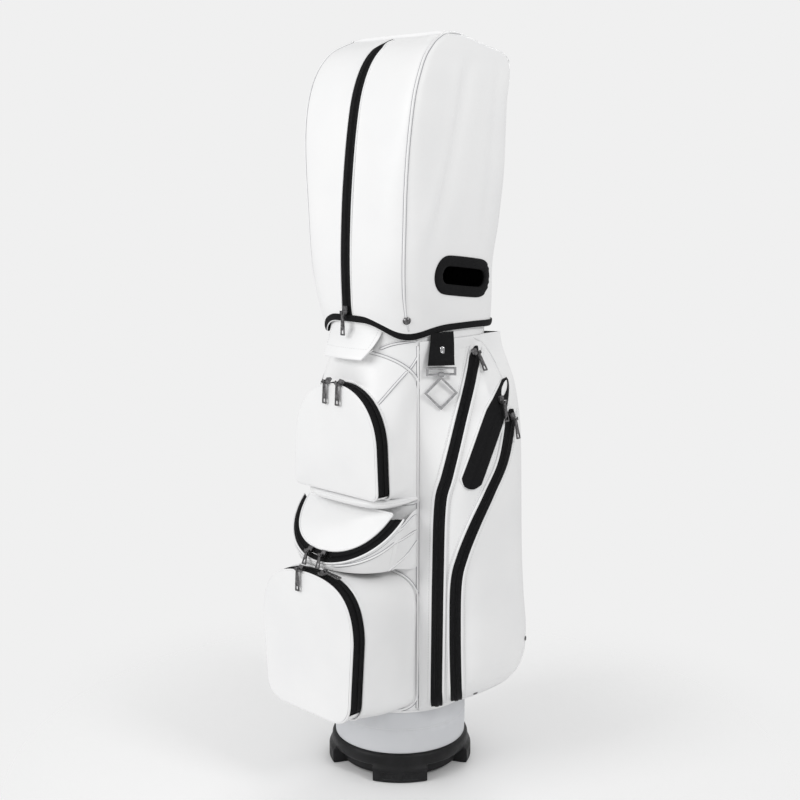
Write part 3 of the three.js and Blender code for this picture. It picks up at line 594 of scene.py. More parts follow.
def stitches(name, path, out, body, rise=0.2):
    """Row of sewn stitches, each a small plump grain, as one piece."""
    path, out = np.asarray(path, float), np.broadcast_to(np.asarray(out, float), np.shape(path))
    lengths = running_length(path)
    starts = np.arange(STITCH_GAP, lengths[-1] - STITCH, STITCH + STITCH_GAP)
    verts, faces = [], []
    profile = circle(STITCH_RADIUS, 6)
    for start in starts:
        at = start + np.array([0, STITCH * 0.25, STITCH * 0.75, STITCH])
        spots = np.stack([np.interp(at, lengths, path[:, k]) for k in range(3)], axis=1)
        ups = unit(np.stack([np.interp(at, lengths, out[:, k]) for k in range(3)], axis=1))
        side, up = path_frames(spots, ups)
        base = len(verts)
        for k, size in enumerate((0.45, 1, 1, 0.45)):
            lift = rise if 0 < k < 3 else -0.2
            ring = spots[k] + up[k] * lift + side[k] * profile[:, :1] * size + up[k] * profile[:, 1:] * size
            verts.extend(ring)
        for k in range(3):
            a = base + 6 * k
            faces += [(a + i, a + (i + 1) % 6, a + 6 + (i + 1) % 6, a + 6 + i) for i in range(6)]
        faces += [tuple(base + i for i in range(5, -1, -1)), tuple(base + 18 + i for i in range(6))]
    return make_piece(name, np.array(verts), faces, THREAD, body)


def coil_profile(width, base=0.0, edge=0.9):
    """Section of a closed zip: tape edges, a sewn groove each side, and the raised coil."""
    half = width / 2
    right = [
        (half, edge), (half * 0.62, edge), (half * 0.5, edge - 0.5), (half * 0.42, edge + 0.1),
        (3.0, edge + 0.1), (2.5, edge + 1.0), (1.5, edge + 1.4), (0.6, edge + 1.0), (0.0, edge + 0.3),
    ]
    top = right + [(-x, y) for x, y in right[-2::-1]]
    return np.array([(half, base)] + top + [(-half, base)])


def half_coil_profile(width):
    """One tape of a zip, sewn at -width, with its half of the coil at 0."""
    points = [
        (0, 0), (0, 0.9), (width * 0.3, 0.9), (width * 0.42, 0.4), (width * 0.5, 1.0), (width - 3.2, 1.0),
        (width - 2.6, 1.9), (width - 1.3, 2.3), (width - 0.3, 1.7), (width - 0.3, 0),
    ]
    return np.array([(x - width, y) for x, y in points])


def pillow(name, points, centre, place, thick, crown, look, body, rings=22, waves=0.5):
    """Crowned panel: a closed outline filled out round its centre. place(u, v, height) gives its points."""
    shape = np.asarray(points, float)
    centre = np.asarray(centre, float)
    steps = np.sin(np.linspace(0, math.pi / 2, rings))[::-1]
    front = []
    for s in steps:
        ring = centre + (shape - centre) * s
        rise = crown * (1 - s**2.4) ** 0.75
        ripple = waves * (1 - s**4) * (np.sin(ring[:, 0] * 0.045 + ring[:, 1] * 0.021)
                                       + 0.7 * np.sin(ring[:, 1] * 0.052 - ring[:, 0] * 0.017 + 1.3))
        front.append(place(ring[:, 0], ring[:, 1], thick + rise + ripple))
    belly = [place(*(centre + (shape - centre) * s).T, np.full(len(shape), h))
             for s, h in ((0.0, 0.0), (0.5, 0.0), (0.985, 0.0), (1.0, thick * 0.3), (1.0, thick * 0.8))]
    piece = tube(name, np.array(belly + front), look, body)
    return piece


# ---- Stage, light and camera ----------------------------------------------------------
PALE = 0.871


def build_stage():
    world = bpy.data.worlds.new("studio")
    bpy.context.scene.world = world
    world.use_nodes = True
    tree = world.node_tree
    background = tree.nodes["Background"]
    background.inputs["Color"].default_value = (1, 1, 1, 1)
    seen = tree.nodes.new("ShaderNodeLightPath").outputs["Is Camera Ray"]
    strength = tree.nodes.new("ShaderNodeMapRange")
    strength.inputs["To Min"].default_value = 0.6
    strength.inputs["To Max"].default_value = PALE
    tree.links.new(seen, strength.inputs["Value"])
    tree.links.new(strength.outputs["Result"], background.inputs["Strength"])

    floor_look = bpy.data.materials.new("floor")
    floor_look.use_nodes = True
    nodes, links = floor_look.node_tree.nodes, floor_look.node_tree.links
    shader = nodes["Principled BSDF"]
    shader.inputs["Base Color"].default_value = (PALE, PALE, PALE, 1)
    shader.inputs["Roughness"].default_value = 0.9
    shader.inputs["Specular IOR Level"].default_value = 0.0
    length = nodes.new("ShaderNodeVectorMath")
    length.operation = "LENGTH"
    links.new(nodes.new("ShaderNodeTexCoord").outputs["Object"], length.inputs[0])
    fade = nodes.new("ShaderNodeMapRange")
    fade.interpolation_type = "SMOOTHSTEP"
    for key, value in {"From Min": 0.35, "From Max": 0.95, "To Min": 1, "To Max": 0}.items():
        fade.inputs[key].default_value = value
    links.new(length.outputs["Value"], fade.inputs["Value"])
    links.new(fade.outputs["Result"], shader.inputs["Alpha"])
    bpy.ops.mesh.primitive_circle_add(vertices=96, radius=1.0, fill_type="NGON", location=(0, 0, -0.0005))
    floor = bpy.context.object
    floor.name = "floor"
    floor.data.materials.append(floor_look)
    floor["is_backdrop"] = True

    for name, place, size, power in (
        ("key", (-0.7, -2.8, 1.8), 1.5, 41),
        ("side", (2.5, 0.1, 2.2), 0.7, 21),
        ("back", (-1.2, 2.2, 2.2), 1.6, 20),
    ):
        lamp = bpy.data.lights.new(name, "AREA")
        lamp.size = size
        lamp.energy = power
        holder = bpy.data.objects.new(name, lamp)
        holder.location = place
        aim = Vector((0, 0, 0.7)) - Vector(place)
        holder.rotation_euler = aim.to_track_quat("-Z", "Y").to_euler()
        bpy.context.scene.collection.objects.link(holder)

    lens = bpy.data.cameras.new("camera")
    lens.lens = 58.5
    lens.sensor_width = 36
    camera = bpy.data.objects.new("camera", lens)
    camera.location = (1.6827, -1.6827, 1.1097)
    camera.rotation_euler = (math.radians(90 - 9.89), 0, math.radians(45))
    bpy.context.scene.collection.objects.link(camera)
    bpy.context.scene.camera = camera
    bpy.context.scene.view_settings.view_transform = "Standard"


# ---- Base and body --------------------------------------------------------------------
def build_base():
    """Moulded cup with four lugs; the faces of the lugs have two ribbed recesses each."""
    bottom = [(0, 0), (60, 0)]
    cup_side = [(92, 0), (94, 0.4), (98, 4), (101, 8), (104, 12), (107, 16), (109, 20), (111, 24),
                (120, 26.4), (128, 28), (130.4, 31)]
    lug_side = [(134, 0), (136, 0.8), (137, 3), (137, 5.2), (137, 6.6), (137, 12), (137, 18.6), (137, 20),
                (136.9, 23.5), (135.6, 27), (131.5, 31)]
    rim = [(131, 36), (131, 41), (130.4, 46), (129, 49.6), (126, 52), (121, 52), (116.6, 52), (116, 51),
           (115, 28), (114.2, 7), (113, 6), (50, 6), (0, 6)]
    rings = []
    for degrees in np.arange(0, 360, 0.75):
        from_lug = abs((degrees % 90) - 45)
        lug = smoothstep(LUG_HALF_ANGLE - from_lug, -0.5, 1.0)
        side = lerp(np.array(cup_side, float), np.array(lug_side, float), lug)
        panel = smoothstep(from_lug, 1.6, 2.6) * (1 - smoothstep(from_lug, 14.5, 15.5))
        rib = 0.8 * max(0.0, math.cos(math.radians(from_lug * 120)))
        side[4:7, 0] -= panel * (1.9 - rib)
        profile = np.vstack([bottom, side, rim])
        turn = math.radians(degrees)
        reach, height = profile.T
        rings.append(np.stack([reach * math.cos(turn), reach * math.sin(turn), height], axis=1))
    rings = np.array(rings)
    steps, count = rings.shape[:2]
    faces = []
    for s in range(steps):
        a, b = s * count, ((s + 1) % steps) * count
        faces += [(a + i, a + i + 1, b + i + 1, b + i) for i in range(count - 1)]
    base = make_piece("base_moulding", rings.reshape(-1, 3), faces, PLASTIC, "bag")
    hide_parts("base_cup")
    bevel(base, 0.5, 2, 40)


def build_body():
    heights = np.linspace(*COLLAR, 30)
    def collar_rows(wall_in):
        rows = []
        for z in heights:
            swell = 0.9 * math.sin(math.pi * (z - COLLAR[0]) / (COLLAR[1] - COLLAR[0]))
            groove = 1.1 * math.exp(-((z - 96) / 1.6) ** 2)
            loop = oval_loop(section_at(z), 0.9 - swell + groove + wall_in, z, 180)
            turn = np.arctan2(loop[:, 1], loop[:, 0])
            pucker = 0.35 * np.sin(turn * 31 + 0.8 * np.sin(turn * 5)) * math.exp(-((z - 96) / 9) ** 2)
            loop[:, :2] *= 1 + pucker[:, None] / 125
            rows.append(loop)
        return rows
    collar = wall("collar", collar_rows(0), collar_rows(2.6), COLLAR_GREY, "bag", ring=True)
    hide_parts("base_collar")
    seam = oval_loop(section_at(134), -0.8, BODY[0] + 1.2, 160)
    piping("base_piping", seam, unit(seam * (1, 1, 0)), 1.9, "bag", closed=True)
    row = oval_loop(section_at(99), 0.2, 99.5, 400)
    row = np.vstack([row, row[:1]])
    stitches("collar_stitches", row, unit(row * (1, 1, 0)), "bag")

    heights = np.linspace(*BODY, 92)
    outer, inner = ([oval_loop(section_at(z), inset, z, 170) for z in heights] for inset in (0, 2.5))
    skin = wall("body_panels", outer, inner, WHITE, "bag", ring=True, inner_look=LINING)
    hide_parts("body_skin")

    levels = np.linspace(0, 1, 9)
    def cuff_rows(inset, puff):
        insets = [inset - puff * math.sin(math.pi * s) ** 0.6 for s in levels]
        return [oval_loop(section_at(850), i, lerp(*CUFF, s), 150) for i, s in zip(insets, levels)]
    outer, inner = cuff_rows(1.6, 1.6), cuff_rows(4.6, -1.4)
    cuff = wall("rim_padding", outer, inner, LINING, "bag", ring=True, edge=0.8)
    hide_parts("rim_cuff")


def body_line(points):
    """Points on the front of the body along a route of (x, z) points, with their outward directions."""
    path = np.array([(x, float(body_front(x, z)) - 0.3, z) for x, z in spline(points, 90)])
    return path, unit(path * (1, 1, 0))


def build_seams():
    for side, sign in (("right", 1), ("left", -1)):
        heights = np.linspace(141, 812, 120)
        path = np.array([(sign * (float(body_side(SEAM_Y, z)) + 1.6), SEAM_Y, z) for z in heights])
        out = facing(unit((sign, -0.75, 0)), len(path))
        piping(f"body_seam_{side}", path, out, 2.0, "bag", crease=-1.0)
        path, out = body_line(np.array([(60, 806), (80, 815), (100, 820), (108, 821)]) * (sign, 1))
        piping(f"shoulder_seam_{side}", path, out, 1.6, "bag", fade=True, crease=0.1)
        stitches(f"shoulder_stitches_{side}", path + (0, 0, 5), out, "bag", rise=1.0)
        path, out = body_line(np.array([(111, 821), (107, 790), (96, 760), (88, 742)]) * (sign, 1))
        piping(f"chest_seam_{side}", path, out, 1.5, "bag", fade=True, crease=0.1)


# ---- Front pockets --------------------------------------------------------------------
def ring_normals(points):
    """Outward direction in the plane at each point of a closed outline that runs anticlockwise."""
    along = np.roll(points, -1, 0) - np.roll(points, 1, 0)
    return unit(np.stack([along[:, 1], -along[:, 0]], axis=1))


def door_ring(name, door, coil_y, far_y, body, flap_below):
    """Half a zip round a door, above its flap, from the coil at coil_y to the sewn edge at far_y."""
    points = outline(door, 0, 200)
    zipped = points[:, 1] > flap_below
    points, normals = points[zipped], ring_normals(points)[zipped]
    profile = half_coil_profile(abs(far_y - coil_y))
    depth = coil_y - np.sign(far_y - coil_y) * profile[:, 0]
    lift = 1.0 + profile[:, 1]
    lengths = running_length(points)
    rings, strip = [], []
    for (u, v), (nu, nv), s in zip(points, normals, lengths):
        rings.append(np.stack([u + nu * lift, depth, v + nv * lift], axis=1))
        strip += [(x, s) for x in profile[:, 0]]
    return tube(name, rings, ZIP, body, strip=strip)


def build_pocket(name, face, flap_below, centre):
    """Case, zip and crowned door of one front pocket; its flap is below a height."""
    door, back, body = OUTLINES[f"{name}_door"], OUTLINES[f"{name}_back"], f"{name}_door"
    rim = face + TAPE_WIDTH + 0.4
    steps = np.linspace(0, 1, 16)
    def loops(grow):
        front = at_face(outline(door, 3 + grow), rim)
        rear = on_body(outline(back, grow), 2.2)
        rows = []
        for s in steps:
            row = lerp(rear, front, s)
            swell = 3.2 * math.sin(math.pi * s) * unit((row - (0, 0, centre[1])) * (1, 0, 1))
            soft = 0.7 * np.sin(row[:, 2] * 0.05 + s * 4)[:, None] * math.sin(math.pi * s)
            rows.append(row + swell * (1 + 0.2 * soft))
        return rows
    case = wall(f"{name}_case", loops(0), loops(-2.5), WHITE, "bag", ring=True, inner_look=LINING)
    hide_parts(f"{name}_pocket_case")
    if name == "upper":
        build_chest_welts(np.array(loops(0)))
    rear = on_body(outline(back, 2.2), 1.2)
    piping(f"{name}_welt", rear, facing(FORWARD, len(rear)), 2.2, "bag", closed=True, crease=-0.4)
    front = at_face(outline(door, 3.4), rim - 0.4)
    piping(f"{name}_rim_piping", front, facing(FORWARD, len(front)), 2.1, "bag", closed=True)

    middle = face + TAPE_WIDTH / 2
    outer = door_ring(f"{name}_zip_outer", door, middle + 0.3, rim - 1.6, "bag", flap_below)
    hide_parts(f"{name}_pocket_tape")
    door_ring(f"{name}_zip_inner", door, middle - 0.3, face + 0.4, body, flap_below)
    points = outline(door, 0, 200)
    under = points[:, 1] <= flap_below
    order = np.roll(np.arange(len(points)), -int(np.argmin(under)))
    normals = ring_normals(points)
    lift = np.array([0.6, 1.9, 1.9, 0.6])
    depth = np.array([rim - 1.6, rim - 1.6, face + 1.2, face + 1.2])
    rings = []
    for i in order[under[order]]:
        (u, v), (nu, nv) = points[i], normals[i]
        rings.append(np.stack([u + nu * lift, depth, v + nv * lift], axis=1))
    tube(f"{name}_gusset", rings, WHITE, "bag")

    edge = at_face(outline(door, 0.6), face - 1.4)
    piping(f"{name}_door_piping", edge, facing(FORWARD, len(edge)), 2.1, body, closed=True)
    def place(u, v, h):
        return np.stack(np.broadcast_arrays(u, face - 0.6 - h, v), axis=-1)
    panel = pillow(f"{name}_door", outline(door, -0.6, 170), centre, place, 3.4, 3.0, WHITE, body)
    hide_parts(f"{name}_pocket_door")


def build_chest_welts(rows):
    """Welts from the shoulder joints down over the upper pocket's sides to its zip."""
    for side, sign in (("right", 1), ("left", -1)):
        start = np.argmin(np.linalg.norm(rows[0][:, [0, 2]] - (sign * 103, 772), axis=1))
        end = np.argmin(np.linalg.norm(rows[-1][:, [0, 2]] - (sign * 84, 716), axis=1))
        line = [row[round(lerp(start, end, k / (len(rows) - 1)))] for k, row in enumerate(rows)]
        line = resample(spline(line, 60), 60)
        away = unit(line - (0, -60, 690))
        piping(f"chest_welt_{side}", line, away, 1.6, "bag", rise=1.0, fade=True, crease=-0.4)


def build_underband():
    """Padded welt under the upper pocket, above the lid, from one side seam round to the other."""
    turns = np.radians(np.linspace(-90, 90, 110))
    round_it, forward = bend(np.sin(turns), 3.4), bend(np.cos(turns), 3.4)
    reach = float(body_side(SEAM_Y, 538)) - 2
    line = np.stack([reach * round_it, SEAM_Y - 84 * forward, 538 - 3 * forward], axis=1)
    path = resample(line, 120)
    away = unit(path - (0, SEAM_Y, path[0, 2]) + FORWARD)
    taper = 0.45 + 0.55 * smoothstep(-path[:, 1], 66, 142)
    sweep("upper_underband", path, (0, 0, 1), circle(1, 20) * (12, 8.2), WHITE, "bag",
          taper=taper, edge=1.5)
    row = path + away * (11.6 * taper)[:, None] + (0, 0, 3.0)
    stitches("underband_stitches", row[6:-6], away[6:-6], "bag")


def build_waist(rings):
    """Leather from the side seams to the middle pocket, with the welts that run round below the lid."""
    for side, sign in (("right", 1), ("left", -1)):
        routes = []
        for ring, seam in zip(rings, np.linspace(412, 519, len(rings))):
            run = ring[(sign * ring[:, 0] > 30) & (ring[:, 1] < -136)]
            run = run[np.argsort(np.arctan2(sign * run[:, 0], -run[:, 1] - 110))]
            routes.append(np.vstack([run[:-1], seam_join(run[-1], seam, sign)]))
        panel = np.array([route[-14:] for route in routes])
        out = unit((sign, -0.25, 0))
        wall(f"waist_panel_{side}", panel + out * 0.5, panel - out * 0.7, WHITE, "bag", edge=0.3)
        diagonal = []
        for i, row in enumerate(np.linspace(0, 5, 14)):
            diagonal.append(lerp(panel[int(row), i], panel[int(row) + 1, i], row % 1))
        lines = [routes[10], routes[7], spline(diagonal, 40)]
        for number, line in enumerate(lines):
            line = resample(line, 90)
            away = unit((line - (0, -110, 0)) * (1, 1, 0))
            piping(f"waist_welt_{side}_{number}", line, away, 1.7, "bag", rise=1.0, fade=True, crease=-0.4)


def seam_join(start, height, sign):
    """Curve from a pocket's side back to the side seam at a height."""
    x = sign * (float(body_side(SEAM_Y, height)) + 0.6)
    return bezier(start, start + (0, 26, 4), (x + sign * 2, -92, height - 6), (x, -65, height), 14)


def build_middle_pocket():
    lid = OUTLINES["lid"]
    steps = np.linspace(0, 1, 12)
    def loops(inset, lower):
        flat = outline(lid, 0, 160)
        s = np.maximum(flat[:, 1], 0) / lid["high"]
        shelf = np.stack([flat[:, 0] / lid["low_half"] * (SHELF["half"] - inset),
                          lerp(SHELF["back"] - inset, SHELF["front"] + inset, s),
                          np.full(len(flat), float(SHELF["z"]))], axis=1)
        edge = outline(lid, LID_TAPE - 2 - inset, 160)
        upper = lid_point(edge[:, 0], np.maximum(edge[:, 1], 5 + lower + inset), -LID_DROP - 2 - lower)
        puff = unit(upper * (1, 0, 0) + (0, -60, 0)) * 3
        return [lerp(shelf, upper, t) + puff * math.sin(math.pi * t) for t in steps]
    case = wall("middle_case", loops(0, 0), loops(2.5, 1), WHITE, "bag", ring=True, inner_look=LINING)
    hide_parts("middle_pocket_case")
    build_waist(loops(0, 0))

    points = outline(lid, 0, 220)
    zipped = points[:, 1] > 10
    def ring_at(grow, above):
        p = outline(lid, grow, 220)[zipped]
        return lid_point(p[:, 0], p[:, 1], above)
    inner_edge, coil = ring_at(1.0, -3.2), ring_at(LID_TAPE / 2, -LID_DROP / 2 - 2)
    sewn = ring_at(LID_TAPE, -LID_DROP - 1.2)
    for name, start, end, body in (("inner", inner_edge, coil, "middle_lid"), ("outer", sewn, coil, "bag")):
        up = unit(np.cross(np.gradient(start, axis=0), end - start))
        up *= np.sign(up[:, 2:] + 1e-9)
        width = float(np.linalg.norm(end - start, axis=1).mean())
        profile = half_coil_profile(width)
        share = (profile[:, 0] / width + 1)[None, :, None]
        rings = lerp(start[:, None], end[:, None], share) + up[:, None] * profile[None, :, 1:]
        lengths = running_length(start)
        strip = [(x, s) for s in lengths for x in profile[:, 0]]
        tape = tube(f"middle_zip_{name}", rings, ZIP, body, strip=strip)
    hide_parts("middle_pocket_tape")
    rim = ring_at(LID_TAPE + 0.5, -LID_DROP - 0.8)
    piping("middle_rim_piping", rim, facing(unit((0, -1, 1)), len(rim)), 2.0, "bag")
    edge = outline(lid, 0.2, 200)
    edge = lid_point(edge[:, 0], edge[:, 1], -0.6)
    piping("middle_lid_piping", edge, facing(unit((0, -1, 1)), len(edge)), 2.1, "middle_lid", closed=True)

    def place(u, v, h):
        return lid_point(u, v, -3.4 + h)
    border = outline(lid, -0.6, 170)
    panel = pillow("middle_lid_panel", border, (0, 44), place, 3.2, 4.5, WHITE, "middle_lid")
    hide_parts("middle_pocket_lid")


# ---- Side pockets ---------------------------------------------------------------------
FACE_Z = np.linspace(SIDE["low"], SIDE["high"], 343)
FACE_LINES = [side_point(np.radians(np.linspace(-89.9, 40, 320)), z) for z in FACE_Z]


def face_point(across, z):
    """Point of the right pocket at a height and at a distance along the direction (1, 1)."""
    at = min(max((z - FACE_Z[0]) / (FACE_Z[1] - FACE_Z[0]), 0), len(FACE_Z) - 1.001)
    spots = []
    for line in (FACE_LINES[int(at)], FACE_LINES[int(at) + 1]):
        key = (line[:, 0] + line[:, 1]) * math.sqrt(0.5)
        spots.append([np.interp(across, key, line[:, 0]), np.interp(across, key, line[:, 1])])
    x, y = lerp(np.array(spots[0]), np.array(spots[1]), at - int(at))
    return np.array([x, y, z])


def face_place(across, z):
    p = face_point(across, z)
    over = face_point(across + 2, z) - face_point(across - 2, z)
    up = face_point(across, z + 4) - face_point(across, z - 4)
    return p, unit(np.cross(over, up))


def beside(route):
    """Sideways direction at each point of a route of two numbers."""
    along = unit(np.gradient(route, axis=0))
    return np.stack([along[:, 1], -along[:, 0]], axis=1)


def face_band(name, route, profile, look, place=face_place, taper=None):
    """Strip laid on a pocket's face along a route; profile is (sideways, height) points."""
    size = np.ones(len(route)) if taper is None else taper
    rings = []
    for q, n, s in zip(route, beside(route), size):
        ring = []
        for u, h in profile:
            p, out = place(*(q + n * u * s))
            ring.append(p + out * h)
        rings.append(ring)
    lengths = running_length(route)
    strip = [(u, v) for v in lengths for u, _ in profile]
    return tube(name, rings, look, "bag", strip=strip)


def face_line(route, shift=0.0, lift=0.0, place=face_place):
    """Route moved sideways on a pocket's face, as points in space with their outward directions."""
    spots = [place(*q) for q in route + beside(route) * shift]
    return np.array([p + out * lift for p, out in spots]), np.array([out for _, out in spots])


def build_zip_on_face(name, points, width, place=face_place, steps=110, point=0.0):
    """Zip with piping and stitches on both sides; point is the share of it that narrows at the top."""
    route = spline(points, steps)
    taper = np.clip(np.linspace(0, 1, steps) / point, 0.12, 1) ** 0.6 if point else None
    profile = coil_profile(width - 2, base=0.2, edge=3.4)
    tape = face_band(f"{name}_zip", route, profile, ZIP, place=place, taper=taper)
    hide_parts(f"{name}_zip_tape")
    for side, sign in (("a", -1), ("b", 1)):
        path, out = face_line(route, sign * (width / 2 + 0.6), 2.2, place)
        piping(f"{name}_piping_{side}", path, out, 2.3, "bag", fade=True)
        path, out = face_line(route, sign * (width / 2 + 6), 0.1, place)
        stitches(f"{name}_stitches_{side}", path, out, "bag")


def build_slant_pocket():
    """Slanting pocket: a wide black welt with round ends, narrow at the top round a white drop."""
    steps = 70
    route = spline([(190, 744), (181, 716), (152, 642), (124, 570), (121, 562)], steps)
    s = np.linspace(0, 1, steps)
    taper = np.clip(s / 0.3, 0, 1) ** 0.45 * 0.99 + 0.01
    taper *= np.clip((1 - s) / 0.07, 0.02, 1) ** 0.5
    half = SLANT_WIDTH * 0.72
    profile = np.array([
        (half, 0.2), (half, 2.6), (half * 0.93, 3.6), (half * 0.55, 4.3), (2.6, 4.4), (1.6, 5.0), (0, 4.5),
        (-1.6, 5.0), (-2.6, 4.4), (-half * 0.55, 4.3), (-half * 0.93, 3.6), (-half, 2.6), (-half, 0.2),
    ])
    welt = face_band("slant_welt", route, profile, NEOPRENE, taper=taper)
    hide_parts("slant_zip_tape")
    for side, sign in (("a", -1), ("b", 1)):
        edge = route + beside(route) * (sign * (half + 1.6) * taper)[:, None]
        spots = [face_place(*q) for q in edge[2:-1]]
        path = np.array([p + out * 1.6 for p, out in spots])
        piping(f"slant_piping_{side}", path, np.array([out for _, out in spots]), 1.9, "bag", fade=True)
    drop = spline([(188.5, 739), (184.5, 727), (180, 714)], 24)
    size = np.sin(np.linspace(0.06, math.pi - 0.06, 24)) ** 0.7
    profile = [(4.6, 3.4), (4.2, 5.4), (0, 6.0), (-4.2, 5.4), (-4.6, 3.4)]
    face_band("slant_drop", drop, profile, WHITE, taper=size)


def build_side_pockets():
    def rows(scale, sign, inset, heights, count):
        grid = []
        for z in heights:
            line = resample(side_point(np.radians(np.linspace(-90, 90, 700)), z, inset, scale), count)
            closing = oval_point(section_at(z), np.float64(math.radians(SIDE["close_at"])), -3.7 + inset, z)
            grid.append(np.vstack([line, lerp(line[-1], closing, 0.5)[None], closing[None]]) * (sign, 1, 1))
        return grid
    for side, scale, sign in (("right", 1, 1), ("left", SIDE_LEFT_SCALE, -1)):
        heights = np.linspace(SIDE["low"], SIDE["high"], 130)
        outer, inner = (rows(scale, sign, inset, heights, 110) for inset in (0, 2.5))
        pocket = wall(f"{side}_pocket", outer, inner, WHITE, "bag", inner_look=LINING)
        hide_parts(f"{side}_side_pocket")
        turns = np.radians(np.linspace(-40, 84, 100))
        feet = 161 + 40 * smoothstep(np.degrees(turns), 10, 84)
        path = np.array([side_point(np.array([a]), z, 0, scale)[0] for a, z in zip(turns, feet)])
        path = path * (sign, 1, 1)
        out = unit(path - np.array([(sign * 90, 45, z + 30) for z in feet]))
        piping(f"{side}_pocket_foot_welt", path, out, 1.6, "bag", rise=0.5, fade=True, crease=-0.3)
    build_zip_on_face("long", ROUTES["long"], ZIP_WIDTH, point=0.03)
    build_zip_on_face("curved", ROUTES["curved"], ZIP_WIDTH, point=0.03)
    build_slant_pocket()
    path, out = face_line(spline([(133, 817), (151, 805), (167, 783), (180, 757), (190, 736)], 60))
    piping("shoulder_piping", path, out, 2.0, "bag", fade=True)
    left_points = [(LEFT_ZIP["y"], z) for z in np.linspace(LEFT_ZIP["high"], LEFT_ZIP["low"], 9)]
    build_zip_on_face("left", left_points, ZIP_WIDTH, place=left_across, steps=70)
    for number, (across, z) in enumerate([(138, 171), (233, 256)]):
        spot, out = face_place(across, z)
        side = unit(np.cross(out, (0, 0, 1)))
        up = np.cross(side, out)
        turns = np.linspace(0, 2 * math.pi, 28, endpoint=False)[:, None]
        path = spot + out * 0.8 + 3.4 * (np.cos(turns) * side + np.sin(turns) * up)
        sweep(f"eyelet_{number}", path, out, circle(1.1, 8), NICKEL, "bag", closed=True)


# ---- Handles, tab and spine pad -------------------------------------------------------
def build_handles():
    rows = spline([(851, 68, 2.6), (836, 66, 3.4), (812, 60, 16), (791, 49, 28), (789, 47.5, 26),
                   (797, 50, 17), (804, 52, 5)], 40)  # height, half width, distance from the body
    grid = []
    for z, half, off in rows:
        x = np.linspace(-half, half, 60)
        grid.append(np.stack([x, body_front(x, max(z, 804)) - off, np.full_like(x, z)], axis=1))
    grid = np.array(grid)
    out = grid_out(grid, False)
    outer, inner = grid + out * 0.4, grid - out * 2.2
    sling = wall("front_handle", outer, inner, WHITE, "bag", inner_look=WEBBING, edge=0.9)
    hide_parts("front_lift_handle")
    for side, column in (("left", 3), ("right", -4)):
        line, away = grid[1:20, column], out[1:20, column]
        stitches(f"handle_stitches_{side}", line + away * 0.4, away, "bag")
    line, away = grid[19, 3:-3], out[19, 3:-3]
    stitches("handle_stitches_front", line + away * 0.4, away, "bag")

    path = np.vstack([
        [(-58, 148.5, 808)], bezier((-46, 151, 808), (-40, 182, 808), (40, 182, 808), (46, 151, 808), 40),
        [(58, 148.5, 808)],
    ])
    path = resample(path, 60)
    strap = np.array([(-11.5, -1.2), (-11.5, 0.8), (-10, 1.6), (10, 1.6), (11.5, 0.8), (11.5, -1.2)])
    grip = sweep("rear_handle", path, unit(path - (0, 60, 808)), strap, WEBBING, "bag", edge=0.4)
    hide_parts("rear_grab_handle")
    sleeve = resample(path[14:46], 40)
    wrap = circle(1, 18) * (12.4, 4.2)
    taper = 1 - 0.12 * np.abs(np.linspace(-1, 1, 40)) ** 6
    away = unit(sleeve - (0, 60, 808))
    sweep("rear_handle_sleeve", sleeve, away, wrap, NEOPRENE, "bag", taper=taper, edge=0.8)

    half, low, high = 50, 432, 778
    def place(u, v, h):
        backs = [section_at(float(z))["back"] for z in np.atleast_1d(v).ravel()]
        y = np.array(backs).reshape(np.shape(v)) + 1.6
        channel = 1.7 * sum(bell(v - c, 3.4) for c in (518, 605, 692)) * np.clip(h / 3, 0, 1)
        return np.stack(np.broadcast_arrays(u, np.minimum(y + h - channel, 153.4), v), axis=-1)
    corner = 14
    arcs = []
    for cx, cz, start in ((half, low, -90), (half, high, 0), (-half, high, 90), (-half, low, 180)):
        turns = np.radians(np.linspace(start, start + 90, 10))
        x, z = cx - math.copysign(corner, cx), cz + (corner if cz == low else -corner)
        arcs.append(np.stack([x + corner * np.cos(turns), z + corner * np.sin(turns)], axis=1))
    border = resample(np.vstack(arcs), 150, closed=True)
    centre = (0, (low + high) / 2)
    pad = pillow("spine_cushion", border, centre, place, 3.0, 7.0, WHITE, "bag", rings=60, waves=0.2)
    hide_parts("spine_pad")
    edge = place(border[:, 0], border[:, 1], 0.8)
    piping("spine_piping", edge, facing((0, 1, 0), len(edge)), 1.9, "bag", closed=True)


